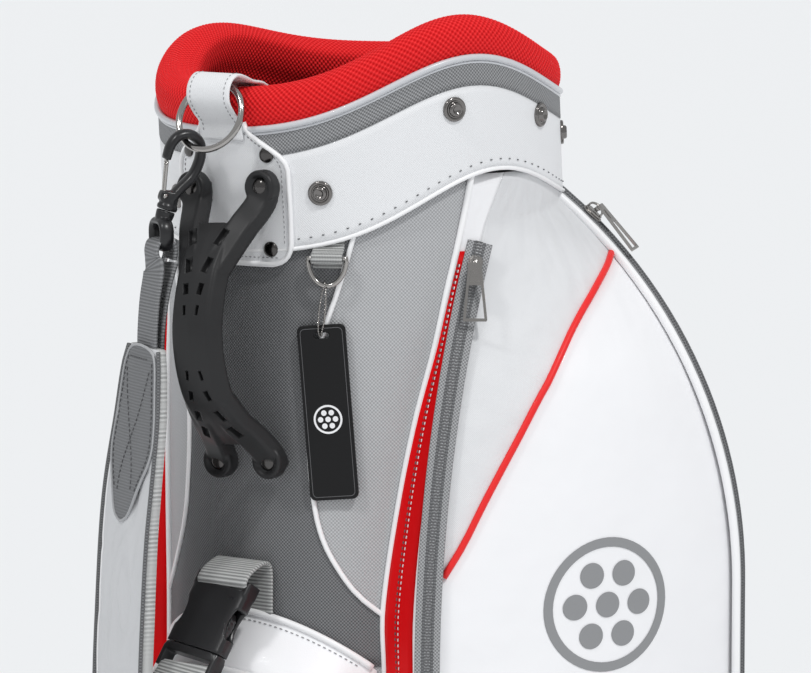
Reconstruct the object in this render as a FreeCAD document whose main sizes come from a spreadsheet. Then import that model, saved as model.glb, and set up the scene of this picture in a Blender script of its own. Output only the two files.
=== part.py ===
import FreeCAD, Part
import math
import os
from FreeCAD import Placement, Rotation, Vector

# A staff golf bag that stands on its base. The spine and the handle face -Y, the origin is
# the centre of the base's flat bottom, and +Z is up. Angles go round the barrel from -Y to +X.

doc = FreeCAD.newDocument("golf_bag")

SIZES = {
    "barrel_radius": 117.5, "barrel_wall": 2.5, "barrel_top": 795,
    "base_radius": 124, "base_height": 62, "base_plate": 8, "base_gap": 1.5,
    "stay_radius": 3, "stay_ring": 111, "stay_top": 768,
    "lean": 4, "lean_from": 770, "collar_radius": 120.5, "collar_wall": 3.2, "collar_foot": 776,
    "tape_low": 821, "piping_low": 835, "cuff_low": 838.6, "cuff_rise": 21.5, "cuff_radius": 96,
    "saddle_rise": 38.5, "saddle_at": 71, "saddle_spread": 36,
    "left_saddle_rise": 21.5, "left_saddle_at": 88, "left_saddle_spread": 33,
    "frame_low": 790, "frame_rise": 30, "frame_radius": 110, "frame_wall": 4,
    "divider_low": 800, "divider_rise": 22, "divider_width": 13, "divider_step": 38,
    "sheet_thick": 2, "sheet_low": 9, "sheet_top": 788,
    "snap_radius": 7.5, "snap_height": 2.5, "rivet_radius": 5.6, "rivet_height": 3,
    "ring_radius": 21, "ring_wire": 2, "hook_bar": 3.1, "hook_arch": 10, "hook_height": 37,
    "gate_wire": 1.1, "eye_width": 27, "eye_depth": 9,
    "web_thick": 2.4, "top_web_width": 30, "web_width": 38,
    "buckle_width": 43, "buckle_thick": 12, "buckle_length": 47, "buckle_wall": 2.2,
    "tag_width": 29, "tag_height": 104, "tag_thick": 2.4, "tag_angle": 28.5,
    "zip_width": 15, "zip_thick": 1.6, "front_zip_bend": 680, "back_zip_bend": 300,
    "pocket_root": 118, "pocket_low": 78, "pocket_bulge": 20,
    "spine_pocket_top": 545, "spine_pocket_deep": 24, "spine_pocket_half": 40,
    "ball_pocket_top": 470, "ball_pocket_low": 105, "ball_pocket_deep": 58, "ball_pocket_half": 33,
}

sheet = doc.addObject("Spreadsheet::Sheet", "Sizes")
for row, (alias, value) in enumerate(SIZES.items(), start=1):
    sheet.set(f"A{row}", alias)
    sheet.set(f"B{row}", str(value))
    sheet.setAlias(f"B{row}", alias)
doc.recompute()

pieces = []


def size(alias):
    """The value of one driving dimension, in millimetres or degrees."""
    return float(sheet.get(alias))


def bind(feature, **expressions):
    """Tie a feature's properties to cells of the sheet."""
    for name, expression in expressions.items():
        feature.setExpression(name, expression)
    return feature


def piece(feature, label, placement=None):
    """Keep a feature as one sub-part of the bag."""
    feature.Label = label
    if placement is not None:
        feature.Placement = placement
    pieces.append(feature)
    return feature


def made(label, shape, placement=None):
    """A sub-part whose shape has no simpler feature."""
    feature = doc.addObject("Part::Feature", label)
    feature.Shape = shape
    return piece(feature, label, placement)


def cylinder(name, radius, height, low="0"):
    feature = doc.addObject("Part::Cylinder", name)
    bind(feature, Radius=radius, Height=height)
    bind(feature, **{"Placement.Base.z": low})
    return feature


def tube(name, inner, outer, height, low="0"):
    """A round tube about Z as the difference of two cylinders."""
    feature = doc.addObject("Part::Cut", name)
    feature.Base = cylinder(name + "_outer", outer, height, low)
    feature.Tool = cylinder(name + "_inner", inner, height, low)
    return feature


def prism(name, outline, direction, length):
    """A closed flat outline pushed along a direction, half the length each way."""
    base = doc.addObject("Part::Feature", name + "_outline")
    base.Shape = outline
    feature = doc.addObject("Part::Extrusion", name)
    feature.Base = base
    feature.DirMode = "Custom"
    feature.Dir = direction
    feature.Solid = True
    feature.Symmetric = True
    bind(feature, LengthFwd=str(length))
    return feature


def common(name, first, second):
    feature = doc.addObject("Part::MultiCommon", name)
    feature.Shapes = [first, second]
    return feature


def polygon(points):
    return Part.makePolygon([Vector(*point) for point in points] + [Vector(*points[0])])


def spline_edge(points):
    curve = Part.BSplineCurve()
    curve.interpolate([Vector(*point) for point in points])
    return curve.toShape()


def line_edge(start, end):
    return Part.makeLine(Vector(*start), Vector(*end))


def arc_edge(start, middle, end):
    return Part.Arc(Vector(*start), Vector(*middle), Vector(*end)).toShape()


def loft(wires):
    return Part.makeLoft(wires, True, True)


def round_about(angle, radius, z=0.0):
    """The point at an angle round the barrel, measured from the spine towards +X."""
    turn = math.radians(angle)
    return Vector(radius * math.sin(turn), -radius * math.cos(turn), z)


def facing(angle, point):
    """A frame at a point: local -Y faces outwards at that angle round the barrel."""
    return Placement(point, Rotation(Vector(0, 0, 1), angle))


def along(origin, up, right):
    """A frame whose Z runs along up and whose X lies as near as it can to right."""
    return Placement(origin, Rotation(right, Vector(0, 0, 0), up, "ZXY"))


def mirrored(shape):
    return shape.mirror(Vector(0, 0, 0), Vector(1, 0, 0))


def bar_along(points, radius, corner=0.0):
    """A round bar along straight runs joined by tangent arcs of one corner radius."""
    corners = [Vector(*point) for point in points]
    edges = []
    start = corners[0]
    for before, here, after in zip(corners, corners[1:], corners[2:]):
        into = (here - before).normalize()
        out = (after - here).normalize()
        turn = into.getAngle(out)
        back = corner * math.tan(turn / 2)
        first = here - into * back
        last = here + out * back
        inward = (out - into).normalize()
        middle = here + inward * (corner / math.cos(turn / 2) - corner)
        edges.append(Part.makeLine(start, first))
        edges.append(Part.Arc(first, middle, last).toShape())
        start = last
    edges.append(Part.makeLine(start, corners[-1]))
    path = Part.Wire(edges)
    heading = corners[1] - corners[0]
    section = Part.Wire(Part.makeCircle(radius, corners[0], heading))
    return path.makePipeShell([section], True, True)


COLLAR_GAP = 0.3
LEAN = Placement(Vector(0, 0, 0), Rotation(Vector(1, 0, 0), size("lean")), Vector(0, 0, size("lean_from")))


def saddle(angle, low):
    """Height of the collar's saddle line at an angle round it; the left hump is the lower one."""
    side = "" if angle >= 0 else "left_"
    off = (abs(angle) - size(side + "saddle_at")) / size(side + "saddle_spread")
    return low + size(side + "saddle_rise") * math.exp(-off * off)


SADDLE_STEP = 15


def saddle_ring(label, inner, outer, low, high):
    """A closed ring whose upper and lower edges follow the saddle; a low of None is level."""
    sections = []
    for angle in range(0, 360, SADDLE_STEP):
        signed = angle if angle <= 180 else angle - 360
        top = saddle(signed, high)
        foot = size("collar_foot") if low is None else saddle(signed, low)
        corners = [round_about(angle, inner, foot), round_about(angle, outer, foot),
                   round_about(angle, outer, top), round_about(angle, inner, top)]
        sections.append(Part.makePolygon(corners + corners[:1]))
    ring = Part.makeLoft(sections, True, False, True)
    made(label, ring, LEAN)
    return ring


def base_and_barrel():
    body = doc.addObject("PartDesign::Body", "BaseBody")
    plane = next(item for item in body.Origin.OriginFeatures if item.Role == "XZ_Plane")
    sketch = body.newObject("Sketcher::SketchObject", "BaseSection")
    sketch.AttachmentSupport = [(plane, "")]
    sketch.MapMode = "FlatFace"
    outer = size("base_radius")
    inner = size("barrel_radius") + size("base_gap")
    high, plate, lip = size("base_height"), size("base_plate"), 6
    corners = [(0, 0), (outer - lip, 0), (outer, lip), (outer, high),
               (inner, high), (inner, plate), (0, plate)]
    for start, end in zip(corners, corners[1:] + corners[:1]):
        sketch.addGeometry(Part.LineSegment(Vector(*start, 0), Vector(*end, 0)), False)
    revolution = body.newObject("PartDesign::Revolution", "BaseTurned")
    revolution.Profile = sketch
    revolution.ReferenceAxis = (sketch, ["V_Axis"])
    revolution.Angle = 360
    body.Tip = revolution
    piece(body, "base_cup")
    wall = tube("barrel_wall_tube", "Sizes.barrel_radius - Sizes.barrel_wall", "Sizes.barrel_radius",
                "Sizes.barrel_top - Sizes.base_plate - 0.5", "Sizes.base_plate + 0.5")
    above = doc.addObject("Part::Cylinder", "above_barrel")
    bind(above, Radius="Sizes.base_radius * 1.2", Height="100")
    foot = Vector(0, 0, size("collar_foot") - COLLAR_GAP)
    above.Placement = LEAN.multiply(Placement(foot, Rotation()))
    shell = doc.addObject("Part::Cut", "barrel_shell")
    shell.Base = wall
    shell.Tool = above
    piece(shell, "barrel_shell")
    rods = doc.addObject("Part::MultiFuse", "stay_rods")
    stays = []
    for number, angle in enumerate((45, 135, 225, 315)):
        rod = cylinder(f"stay_{number}", "Sizes.stay_radius", "Sizes.stay_top - Sizes.base_plate - 1",
                       "Sizes.base_plate + 1")
        spot = round_about(angle, size("stay_ring"))
        rod.Placement.Base = Vector(spot.x, spot.y, size("base_plate") + 1)
        stays.append(rod)
    rods.Shapes = stays
    piece(rods, "stay_rods")


def collar():
    """The collar's band, tape, piping and padded cuff; gives back the cuff's upright shape."""
    tape, piping, cuff = size("tape_low"), size("piping_low"), size("cuff_low")
    outer = size("collar_radius")
    inner = outer - size("collar_wall")
    saddle_ring("collar_band", inner, outer, None, tape)
    saddle_ring("collar_tape", inner, outer - 0.4, tape + 0.1, piping - 0.1)
    saddle_ring("cuff_piping", inner, outer + 0.4, piping, cuff - 0.4)
    return saddle_ring("top_cuff", size("cuff_radius"), outer, cuff, cuff + size("cuff_rise"))


def dividers():
    ring = tube("top_frame", "Sizes.frame_radius", "Sizes.frame_radius + Sizes.frame_wall",
                "Sizes.frame_rise", "Sizes.frame_low")
    piece(ring, "top_frame", LEAN)
    reach = size("frame_radius") - 0.4
    low, rise, width = size("divider_low"), size("divider_rise"), size("divider_width")
    step = size("divider_step")
    bars = Part.makeBox(width, 2 * reach, rise, Vector(-width / 2, -reach, low))
    for y in (-step, step):
        bars = bars.fuse(Part.makeBox(2 * reach, width, rise, Vector(-reach, y - width / 2, low)))
    disc = Part.makeCylinder(reach, rise, Vector(0, 0, low))
    made("divider_bars", bars.common(disc).removeSplitter(), LEAN)
    thick, foot, top = size("sheet_thick"), size("sheet_low"), size("sheet_top")
    long_half = 106
    long_sheet = doc.addObject("Part::Box", "divider_long_sheet")
    bind(long_sheet, Length="Sizes.sheet_thick", Width=str(2 * long_half),
         Height="Sizes.sheet_top - Sizes.sheet_low")
    long_sheet.Placement.Base = Vector(-thick / 2, -long_half, foot)
    piece(long_sheet, "divider_long_sheet")
    sheets = []
    for y in (-step, step):
        for x in (thick / 2 + 0.5, -97 - thick / 2 - 0.5):
            sheets.append(Part.makeBox(97, thick, top - foot, Vector(x, y - thick / 2, foot)))
    made("divider_cross_sheets", Part.makeCompound(sheets))


def button(radius, height, dome):
    """A turned button along -Y: a flat disc with a lower domed middle."""
    disc = Part.makeCylinder(radius, height, Vector(0, 0, 0), Vector(0, -1, 0))
    middle = Part.makeCylinder(radius * 0.55, height + dome, Vector(0, 0, 0), Vector(0, -1, 0))
    return disc.fuse(middle)


def hood_snaps():
    """Eight snap studs round the collar, four on each side."""
    radius, height = size("snap_radius"), size("snap_height")
    shapes = []
    for angle, below_tape in ((26.9, 28.1), (66, 12.8), (101, 6.5), (127, 9)):
        for side in (1, -1):
            z = saddle(side * angle, size("tape_low")) - below_tape
            stud = button(radius, height, 1.5)
            stud.Placement = facing(side * angle, round_about(side * angle, size("collar_radius") + 0.3, z))
            shapes.append(stud)
    made("hood_snaps", Part.makeCompound(shapes), LEAN)


def handle_patch(cuff):
    """The patch on the collar's front, and the tab that folds over the ring and the cuff."""
    left, right, low, high = -46, 38, 759, 830
    neck_left, neck_right, neck = -24, 12, 840
    outline = Part.Wire(Part.sortEdges([
        line_edge((left + 12, 0, low), (right - 12, 0, low)),
        arc_edge((right - 12, 0, low), (right - 3.5, 0, low + 3.5), (right, 0, low + 12)),
        line_edge((right, 0, low + 12), (right, 0, high - 12)),
        spline_edge([(right, 0, high - 12), (right - 4, 0, high - 3),
                     (neck_right + 6, 0, high + 4), (neck_right, 0, neck)]),
        line_edge((neck_right, 0, neck), (neck_left, 0, neck)),
        spline_edge([(neck_left, 0, neck), (neck_left - 6, 0, high + 4),
                     (left + 4, 0, high - 3), (left, 0, high - 12)]),
        line_edge((left, 0, high - 12), (left, 0, low + 12)),
        arc_edge((left, 0, low + 12), (left + 3.5, 0, low + 3.5), (left + 12, 0, low))])[0])
    skin = tube("patch_skin", "Sizes.collar_radius + 0.5", "Sizes.collar_radius + 2.5", "150", "720")
    face = Part.Face(outline)
    plate = face.extrude(Vector(0, -70, 0))
    plate.translate(Vector(0, -75, 0))
    doc.recompute()
    plate = plate.common(skin.Shape)
    doc.removeObject(skin.Name)
    outer = [(-123.3, 837), (-124.2, 842), (-131.4, 847.4), (-138, 853.6), (-138.8, 861), (-133.2, 869.8),
             (-125.4, 872.6), (-118, 871.6), (-109.5, 868), (-97, 867.8), (-90, 859), (-90, 838)]
    inner = [(-92, 838), (-92, 858.6), (-98, 865.8), (-110, 866), (-118.8, 869.6), (-125, 870.6),
             (-131.6, 867.8), (-136.6, 860.6), (-136, 854.8), (-130, 849.2), (-122, 843.2), (-121.2, 837)]
    profile = polygon([(0, y, z) for y, z in outer + inner])
    width = neck_right - neck_left - 4.4
    tab = Part.Face(profile).extrude(Vector(width, 0, 0))
    tab.translate(Vector(neck_left + 2.8, 0, 0))
    made("handle_patch", plate.fuse(tab).cut(cuff).removeSplitter(), LEAN)
    radius, height = size("rivet_radius"), size("rivet_height")
    shapes = []
    for x, z in ((25, 824), (25, 768), (-37, 824), (-37, 768)):
        angle = math.degrees(math.asin(x / size("collar_radius")))
        rivet = button(radius, height, 1)
        rivet.Placement = facing(angle, round_about(angle, size("collar_radius") + 2.8, z))
        shapes.append(rivet)
    made("patch_rivets", Part.makeCompound(shapes), LEAN)


HANDLE_ASIDE = Placement(Vector(0, 0, 0), Rotation(Vector(0, 0, 1), 3.4))
HANDLE_TILT = Placement(Vector(0, 0, 0), Rotation(Vector(0, 1, 0), -3.5), Vector(2, 0, 715))
HANDLE_LEAN = HANDLE_ASIDE.multiply(HANDLE_TILT)
HANDLE_TOP = (25, 796)
HANDLE_FOOT = (18, 634)


def handle():
    """A moulded grip that stands off the spine on two forked ends."""
    outer = [(0, -134, 808), (0, -135, 790), (0, -151, 770), (0, -168, 746), (0, -176, 712), (0, -170, 676),
             (0, -149, 652), (0, -129, 641), (0, -127.5, 622)]
    inner = [(0, -119.8, 622), (0, -121, 643), (0, -139, 658), (0, -160, 682), (0, -165, 712),
             (0, -158, 740), (0, -142, 764), (0, -128.5, 784), (0, -127.8, 808)]
    side = Part.Wire(Part.sortEdges([spline_edge(outer), line_edge(outer[-1], inner[0]), spline_edge(inner),
                                     line_edge(inner[-1], outer[0])])[0])
    top_x, top_z = HANDLE_TOP
    foot_x, foot_z = HANDLE_FOOT

    def half(sign):
        return [line_edge((0, 0, 771), (sign * (top_x - 9.4), 0, top_z + 5)),
                arc_edge((sign * (top_x - 9.4), 0, top_z + 5), (sign * (top_x + 5), 0, top_z + 9.4),
                         (sign * (top_x + 10.2), 0, top_z - 3)),
                spline_edge([(sign * (top_x + 10.2), 0, top_z - 3), (sign * 19, 0, 762), (sign * 15, 0, 712),
                             (sign * 16, 0, 668), (sign * (foot_x + 9.4), 0, foot_z + 3)]),
                arc_edge((sign * (foot_x + 9.4), 0, foot_z + 3), (sign * (foot_x + 4), 0, foot_z - 9),
                         (sign * (foot_x - 9.4), 0, foot_z - 3)),
                line_edge((sign * (foot_x - 9.4), 0, foot_z - 3), (0, 0, 650))]

    front = Part.Wire(Part.sortEdges(half(1) + half(-1))[0])
    side_body = prism("handle_side", side, Vector(1, 0, 0), 120)
    front_body = prism("handle_front", front, Vector(0, 1, 0), 400)
    piece(common("handle_grip", side_body, front_body), "handle_grip", HANDLE_LEAN)
    radius, height = size("rivet_radius"), size("rivet_height")
    shapes = []
    for (x, z), y in ((HANDLE_TOP, -135.4), (HANDLE_FOOT, -129)):
        for side_x in (x, -x):
            rivet = button(radius, height, 1)
            rivet.Placement = Placement(Vector(side_x, y, z), Rotation())
            shapes.append(rivet)
    made("handle_rivets", Part.makeCompound(shapes), HANDLE_LEAN)


RING_CENTRE = Vector(-4, -140, 838)
RING_YAW = 8
RING_TILT = 25
HOOK_AXIS = Vector(0.2055, 0.237, 0.9486)


def ring_frame():
    """X runs across the ring, Z points from its lowest point to its highest."""
    across = Vector(math.cos(math.radians(RING_YAW)), math.sin(math.radians(RING_YAW)), 0)
    outward = Vector(across.y, -across.x, 0)
    tilt = math.radians(RING_TILT)
    down = outward * math.sin(tilt) - Vector(0, 0, 1) * math.cos(tilt)
    return along(RING_CENTRE, down * -1, across)


def hook_seat():
    """Where the hook's stem meets its swivel, found from where the ring hangs in the arch."""
    turn = math.radians(32)
    radius = size("ring_radius")
    contact = ring_frame().multVec(Vector(-radius * math.sin(turn), 0, -radius * math.cos(turn)))
    rise = size("hook_height") + size("hook_arch") - size("hook_bar") - size("ring_wire") - 0.6
    return contact - HOOK_AXIS * rise


def hook_frame():
    yaw = math.radians(62)
    facing_out = Vector(math.sin(yaw), -math.cos(yaw), 0)
    right = facing_out.cross(HOOK_AXIS) * -1
    return along(hook_seat(), HOOK_AXIS, right)


def strap_hardware():
    ring = doc.addObject("Part::Torus", "strap_ring")
    bind(ring, Radius1="Sizes.ring_radius", Radius2="Sizes.ring_wire")
    frame = ring_frame()
    stood = Placement(Vector(0, 0, 0), Rotation(Vector(1, 0, 0), 90))
    piece(ring, "strap_ring", frame.multiply(stood))
    bar, arch, height = size("hook_bar"), size("hook_arch"), size("hook_height")
    made("hook_body", hook_bar(bar, arch, height), hook_frame())
    wire = size("gate_wire")
    gate = bar_along([(-arch + 0.6, 0, 27.2), (-4.6, 0, 9.2)], wire)
    barrel = Part.makeCylinder(1.6, 5, Vector(-4.2, -2.5, 8.2), Vector(0, 1, 0))
    made("hook_gate", gate.fuse(barrel), hook_frame())
    width, depth = size("eye_width"), size("eye_depth")
    eye_centre = hook_seat() + Vector(-2.5, -1.5, -13.5)
    outer = Part.makeBox(width, depth, 20, Vector(-width / 2, -depth / 2, -10))
    outer = outer.makeFillet(4, outer.Edges)
    slot = Part.makeBox(width - 8, depth + 2, 10, Vector(4 - width / 2, -depth / 2 - 1, -5.5))
    eye = outer.cut(slot)
    eye.Placement = facing(-32, eye_centre)
    hub = Part.makeCylinder(5, 6.5, Vector(0, 0, 0), Vector(0, 0, -1))
    hub.Placement = hook_frame()
    made("swivel_eye", eye.fuse(hub))


def hook_bar(bar, arch, height):
    """The hook's bar: a stem, a back that leans out, an arch over the ring and a nose."""
    low = Vector(1.2, 0, 7)
    back = Vector(arch, 0, 27)
    shoulder = Vector(arch, 0, height)
    crown = Vector(0, 0, height + arch)
    far = Vector(-arch, 0, height)
    nose = Vector(-arch, 0, 28.6)
    path = Part.Wire([Part.makeLine(low, back), Part.makeLine(back, shoulder),
                      Part.Arc(shoulder, crown, far).toShape(), Part.makeLine(far, nose)])
    section = Part.Wire(Part.makeCircle(bar, low, back - low))
    swept = path.makePipeShell([section], True, True, 1)
    collar = Part.makeCylinder(5.2, 8, Vector(0, 0, 0.4))
    foot = Part.makeCone(5.2, 3.4, 4, Vector(0, 0, 8.4))
    cheek = Part.makeBox(7, 5, 6, Vector(-6, -2.5, 3))
    gap = Part.makeBox(6, 6, 9, Vector(-8.5, -3, 5.2))
    return swept.fuse([collar, foot, cheek]).cut(gap)


def section_at(point, angle, width, thick):
    """A flat rectangle in a level plane, its long side along the tangent at an angle."""
    turn = math.radians(angle)
    side = Vector(math.cos(turn), math.sin(turn), 0) * (width / 2)
    out = Vector(math.sin(turn), -math.cos(turn), 0) * (thick / 2)
    centre = Vector(*point)
    return Part.makePolygon([centre - side - out, centre + side - out, centre + side + out,
                             centre - side + out, centre - side - out])


STRAP_PAD = [((-27.5, -169, 702), -38, 42, 8), ((-33, -171, 660), -33, 52, 11),
             ((-39, -172, 610), -29, 70, 13), ((-43, -172, 560), -28, 75, 13),
             ((-45, -173, 500), -28, 75, 13), ((-45, -174, 400), -26, 75, 13),
             ((-43, -173, 330), -24, 66, 12), ((-41, -172, 296), -24, 46, 8)]
WEB_OUT = (-41, -172)
WEB_ANGLE = -24
WEB_TURN = 9
WEB_FOOT = 180
WEB_JOIN = 440


def strap():
    """Top webbing, pad with its sewn patch, and the lower webbing that turns back to the buckle."""
    thick, top_width, width = size("web_thick"), size("top_web_width"), size("web_width")
    eye = hook_seat() + Vector(-2.5, -1.5, -13.5)
    top = [section_at((eye.x, eye.y, eye.z - 11.5), -35, 24, 5),
           section_at((-27.5, -167.5, 745), -44, top_width, 2 * thick),
           section_at((-27.5, -169, 702.5), -38, top_width, 2 * thick)]
    made("strap_web_top", loft(top))
    made("shoulder_pad", loft([section_at(*spot) for spot in STRAP_PAD]))
    patch = []
    for (x, y, z), angle, pad_width, pad_thick in STRAP_PAD[:3]:
        turn = math.radians(angle)
        gap = pad_thick / 2 + 1.2
        spot = (x + gap * math.sin(turn), y - gap * math.cos(turn), z)
        patch.append(section_at(spot, angle, min(pad_width - 6, 44), 1.6))
    made("strap_patch", loft(patch))
    turn = math.radians(WEB_ANGLE)
    side = Vector(math.cos(turn), math.sin(turn), 0)
    out = Vector(math.sin(turn), -math.cos(turn), 0)
    start = Vector(WEB_OUT[0], WEB_OUT[1], 0) - side * (width / 2)

    def spot(depth, z):
        return start - out * depth + Vector(0, 0, z)

    half = thick / 2
    far = 2 * WEB_TURN
    pad_foot = STRAP_PAD[-1][0][2] - 0.3
    outline = [Part.makeLine(spot(-half, pad_foot), spot(-half, WEB_FOOT)),
               Part.Arc(spot(-half, WEB_FOOT), spot(WEB_TURN, WEB_FOOT - WEB_TURN - half),
                        spot(far + half, WEB_FOOT)).toShape(),
               Part.makeLine(spot(far + half, WEB_FOOT), spot(far + half, WEB_JOIN)),
               Part.makeLine(spot(far + half, WEB_JOIN), spot(far - half, WEB_JOIN)),
               Part.makeLine(spot(far - half, WEB_JOIN), spot(far - half, WEB_FOOT)),
               Part.Arc(spot(far - half, WEB_FOOT), spot(WEB_TURN, WEB_FOOT - WEB_TURN + half),
                        spot(half, WEB_FOOT)).toShape(),
               Part.makeLine(spot(half, WEB_FOOT), spot(half, pad_foot)),
               Part.makeLine(spot(half, pad_foot), spot(-half, pad_foot))]
    made("strap_web_lower", Part.Face(Part.Wire(outline)).extrude(side * width))
    frame = facing(WEB_ANGLE, Vector(WEB_OUT[0], WEB_OUT[1], 330) - out * far)
    block = Part.makeBox(width + 8, 6, 26, Vector(-width / 2 - 4, -3, -13))
    passage = Part.makeBox(width + 0.8, thick + 0.8, 30, Vector(-width / 2 - 0.4, -thick / 2 - 0.4, -15))
    made("strap_adjuster", block.cut(passage), frame)
    back = Vector(WEB_OUT[0], WEB_OUT[1], 0) - out * far
    low_end = buckle_frame().multVec(Vector(0, 0, size("buckle_length") + 17.5))
    end = [section_at((back.x, back.y, WEB_JOIN + 0.3), WEB_ANGLE, width, thick),
           section_at((back.x + 5, back.y - 4, WEB_JOIN + 28), -16, width, thick),
           section_at((low_end.x - 2, low_end.y - 1, low_end.z - 16), -6, width, thick),
           section_at((low_end.x, low_end.y, low_end.z), 0, width, thick)]
    made("strap_web_end", loft(end))


def buckle_frame():
    """Origin at the top of the buckle's socket half, Z down along the buckle, X across it."""
    return along(Vector(7, -136.5, 564), Vector(-0.127, -0.51, -0.851), Vector(1, 0, 0))


def buckle():
    width, thick, length = size("buckle_width"), size("buckle_thick"), size("buckle_length")
    wall = size("buckle_wall")
    frame = buckle_frame()
    half = width / 2
    block = Part.makeBox(width, thick, length, Vector(-half, -thick / 2, 0))
    cavity = Part.makeBox(width - 2 * wall, thick - 2 * wall, length - 9,
                          Vector(wall - half, wall - thick / 2, 9.5))
    windows = Part.makeBox(width + 2, thick - 2 * wall, 17, Vector(-half - 1, wall - thick / 2, 20))
    slot = Part.makeBox(width - 8, thick + 2, 4, Vector(4 - half, -thick / 2 - 1, 2.5))
    made("buckle_female", block.cut(cavity).cut(windows).cut(slot), frame)
    stop = Part.makeBox(width, thick, 5, Vector(-half, -thick / 2, length + 0.5))
    rails = [Part.makeBox(4, thick, 12, Vector(x, -thick / 2, length + 0.5)) for x in (-half, half - 4)]
    bar = Part.makeBox(width, 4, 3.5, Vector(-half, -thick / 2, length + 12.5))
    tongue = Part.makeBox(9, 4, length - 16, Vector(-4.5, -2, 17))
    made("buckle_male", stop.fuse(rails + [bar, tongue]).removeSplitter(), frame)
    for label, sign in (("buckle_prong_left", -1), ("buckle_prong_right", 1)):
        centre = sign * 15.4
        arm = Part.makeBox(4, 5.6, length - 21, Vector(centre - 2, -2.8, 20.5))
        grip = Part.makeBox(5.4, 6.4, 13, Vector(centre - (2.4 if sign > 0 else 3), -3.2, 22))
        made(label, arm.fuse(grip).removeSplitter(), frame)
    web = 38
    profile = [(-119, 541), (-119, 571), (-121, 574.5), (-132, 575), (-137.5, 571), (-142, 564.5),
               (-144.5, 566), (-139.5, 573.5), (-133, 577.5), (-120, 577), (-116.6, 572), (-116.6, 541)]
    profile = [(y - 1.6, z) for y, z in profile]
    strip = prism("buckle_anchor_web", polygon([(7, y, z) for y, z in profile]), Vector(1, 0, 0), web)
    piece(strip, "buckle_anchor_web")


def tag_frame(z):
    """A frame on the barrel's front right, where the name tag hangs."""
    angle = size("tag_angle")
    return facing(angle, round_about(angle, size("pocket_root"), z))


def tag():
    loop = polygon([(0, -0.4, 752), (0, -0.4, 764), (0, -2.6, 764), (0, -2.8, 761),
                    (0, -9, 758.5), (0, -10.5, 756), (0, -9.5, 753.4), (0, -6, 752)])
    hole = Part.makeCylinder(2.3, 60, Vector(-30, -7.2, 755.7), Vector(1, 0, 0))
    block = Part.Face(loop).extrude(Vector(19, 0, 0))
    block.translate(Vector(-9.5, 0, 0))
    made("d_ring_web", block.cut(hole), tag_frame(0))
    straight = [(-11.5, -7.2, 755.7), (11.5, -7.2, 755.7)]
    rod = Part.makeCylinder(1.5, 23, Vector(*straight[0]), Vector(1, 0, 0))
    bow = Part.Arc(Vector(*straight[1]), Vector(0, -8.5, 739.5), Vector(*straight[0]))
    curve = Part.Wire([bow.toShape()])
    heading = curve.Edges[0].tangentAt(curve.Edges[0].FirstParameter)
    start = curve.Edges[0].valueAt(curve.Edges[0].FirstParameter)
    arc = curve.makePipeShell([Part.Wire(Part.makeCircle(1.5, start, heading))], True, True)
    ends = [Part.makeSphere(2.0, Vector(*point)) for point in straight]
    made("d_ring", arc.fuse([rod] + ends), tag_frame(0))
    chain = bar_along([(-1.2, -8.0, 735.4), (-4.9, -4.4, 714.5)], 1.2)
    link = Part.makeTorus(3.4, 1.1, Vector(-1.2, -8.4, 739.6), Vector(1, 0, 0))
    made("tag_chain", chain.fuse(link), tag_frame(0))
    width, height, thick = size("tag_width"), size("tag_height"), size("tag_thick")
    plate = Part.makeBox(width, thick, height, Vector(-width / 2, -thick / 2, -height))
    upright = [edge for edge in plate.Edges if abs(edge.Vertexes[0].Y - edge.Vertexes[1].Y) > thick / 2]
    plate = plate.makeFillet(5, upright)
    slot = Part.makeBox(9, thick + 2, 3.4, Vector(-4.5, -thick / 2 - 1, -8))
    hung = Placement(Vector(-4.5, -3.6, 716), Rotation(Vector(0, 1, 0), -4.6))
    made("name_tag", plate.cut(slot), tag_frame(0).multiply(hung))


# The side pockets. Each level section is a near root on the barrel, a near edge with the
# front zip, a bulged front panel, a far edge with the back zip, and a far root.
ZIP_TURN_FRONT = 480
ZIP_LIFT = 2.2
ZIP_TURN_BACK = 550
FRONT_EDGE_Y = -97
BACK_EDGE_START = (99, 69.4)
BACK_EDGE_RUN = (0.912, 0.411)
BACK_EDGE_DEEP = 109
FAR_ROOT_ANGLE = 146


def front_edge(z):
    """The pocket's near edge: vertical low down, bending back in one arc towards the top."""
    bend = size("front_zip_bend")
    rise = max(z - ZIP_TURN_FRONT, 0)
    back = bend - math.sqrt(bend * bend - rise * rise)
    return Vector(116 + 0.03 * (757 - max(z, ZIP_TURN_FRONT)), FRONT_EDGE_Y + back, z)


def back_edge(z):
    """The pocket's far edge, which rounds over towards the collar."""
    bend = size("back_zip_bend")
    rise = max(z - ZIP_TURN_BACK, 0)
    reach = BACK_EDGE_DEEP - bend + math.sqrt(bend * bend - rise * rise)
    start_x, start_y = BACK_EDGE_START
    run_x, run_y = BACK_EDGE_RUN
    return Vector(start_x + reach * run_x, start_y + reach * run_y, z)


def near_root_angle(z):
    """Where the near gusset leaves the barrel: steep near the top, nearly upright lower down."""
    share = min(max((z - 520) / 270, 0), 1)
    return 43.5 + 28 * share ** 1.35


def taper(z):
    """How far the pocket stands out at its rounded foot, from 0 to 1."""
    low, high = size("pocket_low"), size("pocket_low") + 55
    share = min(max((z - low) / (high - low), 0), 1)
    return 0.55 + 0.45 * math.sqrt(1 - (1 - share) ** 2)


def drawn_in(point, z):
    """A point moved in towards the barrel near the pocket's foot."""
    root = round_about(math.degrees(math.atan2(point.x, -point.y)), size("pocket_root"), z)
    return root + (Vector(point.x, point.y, z) - root) * taper(z)


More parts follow.
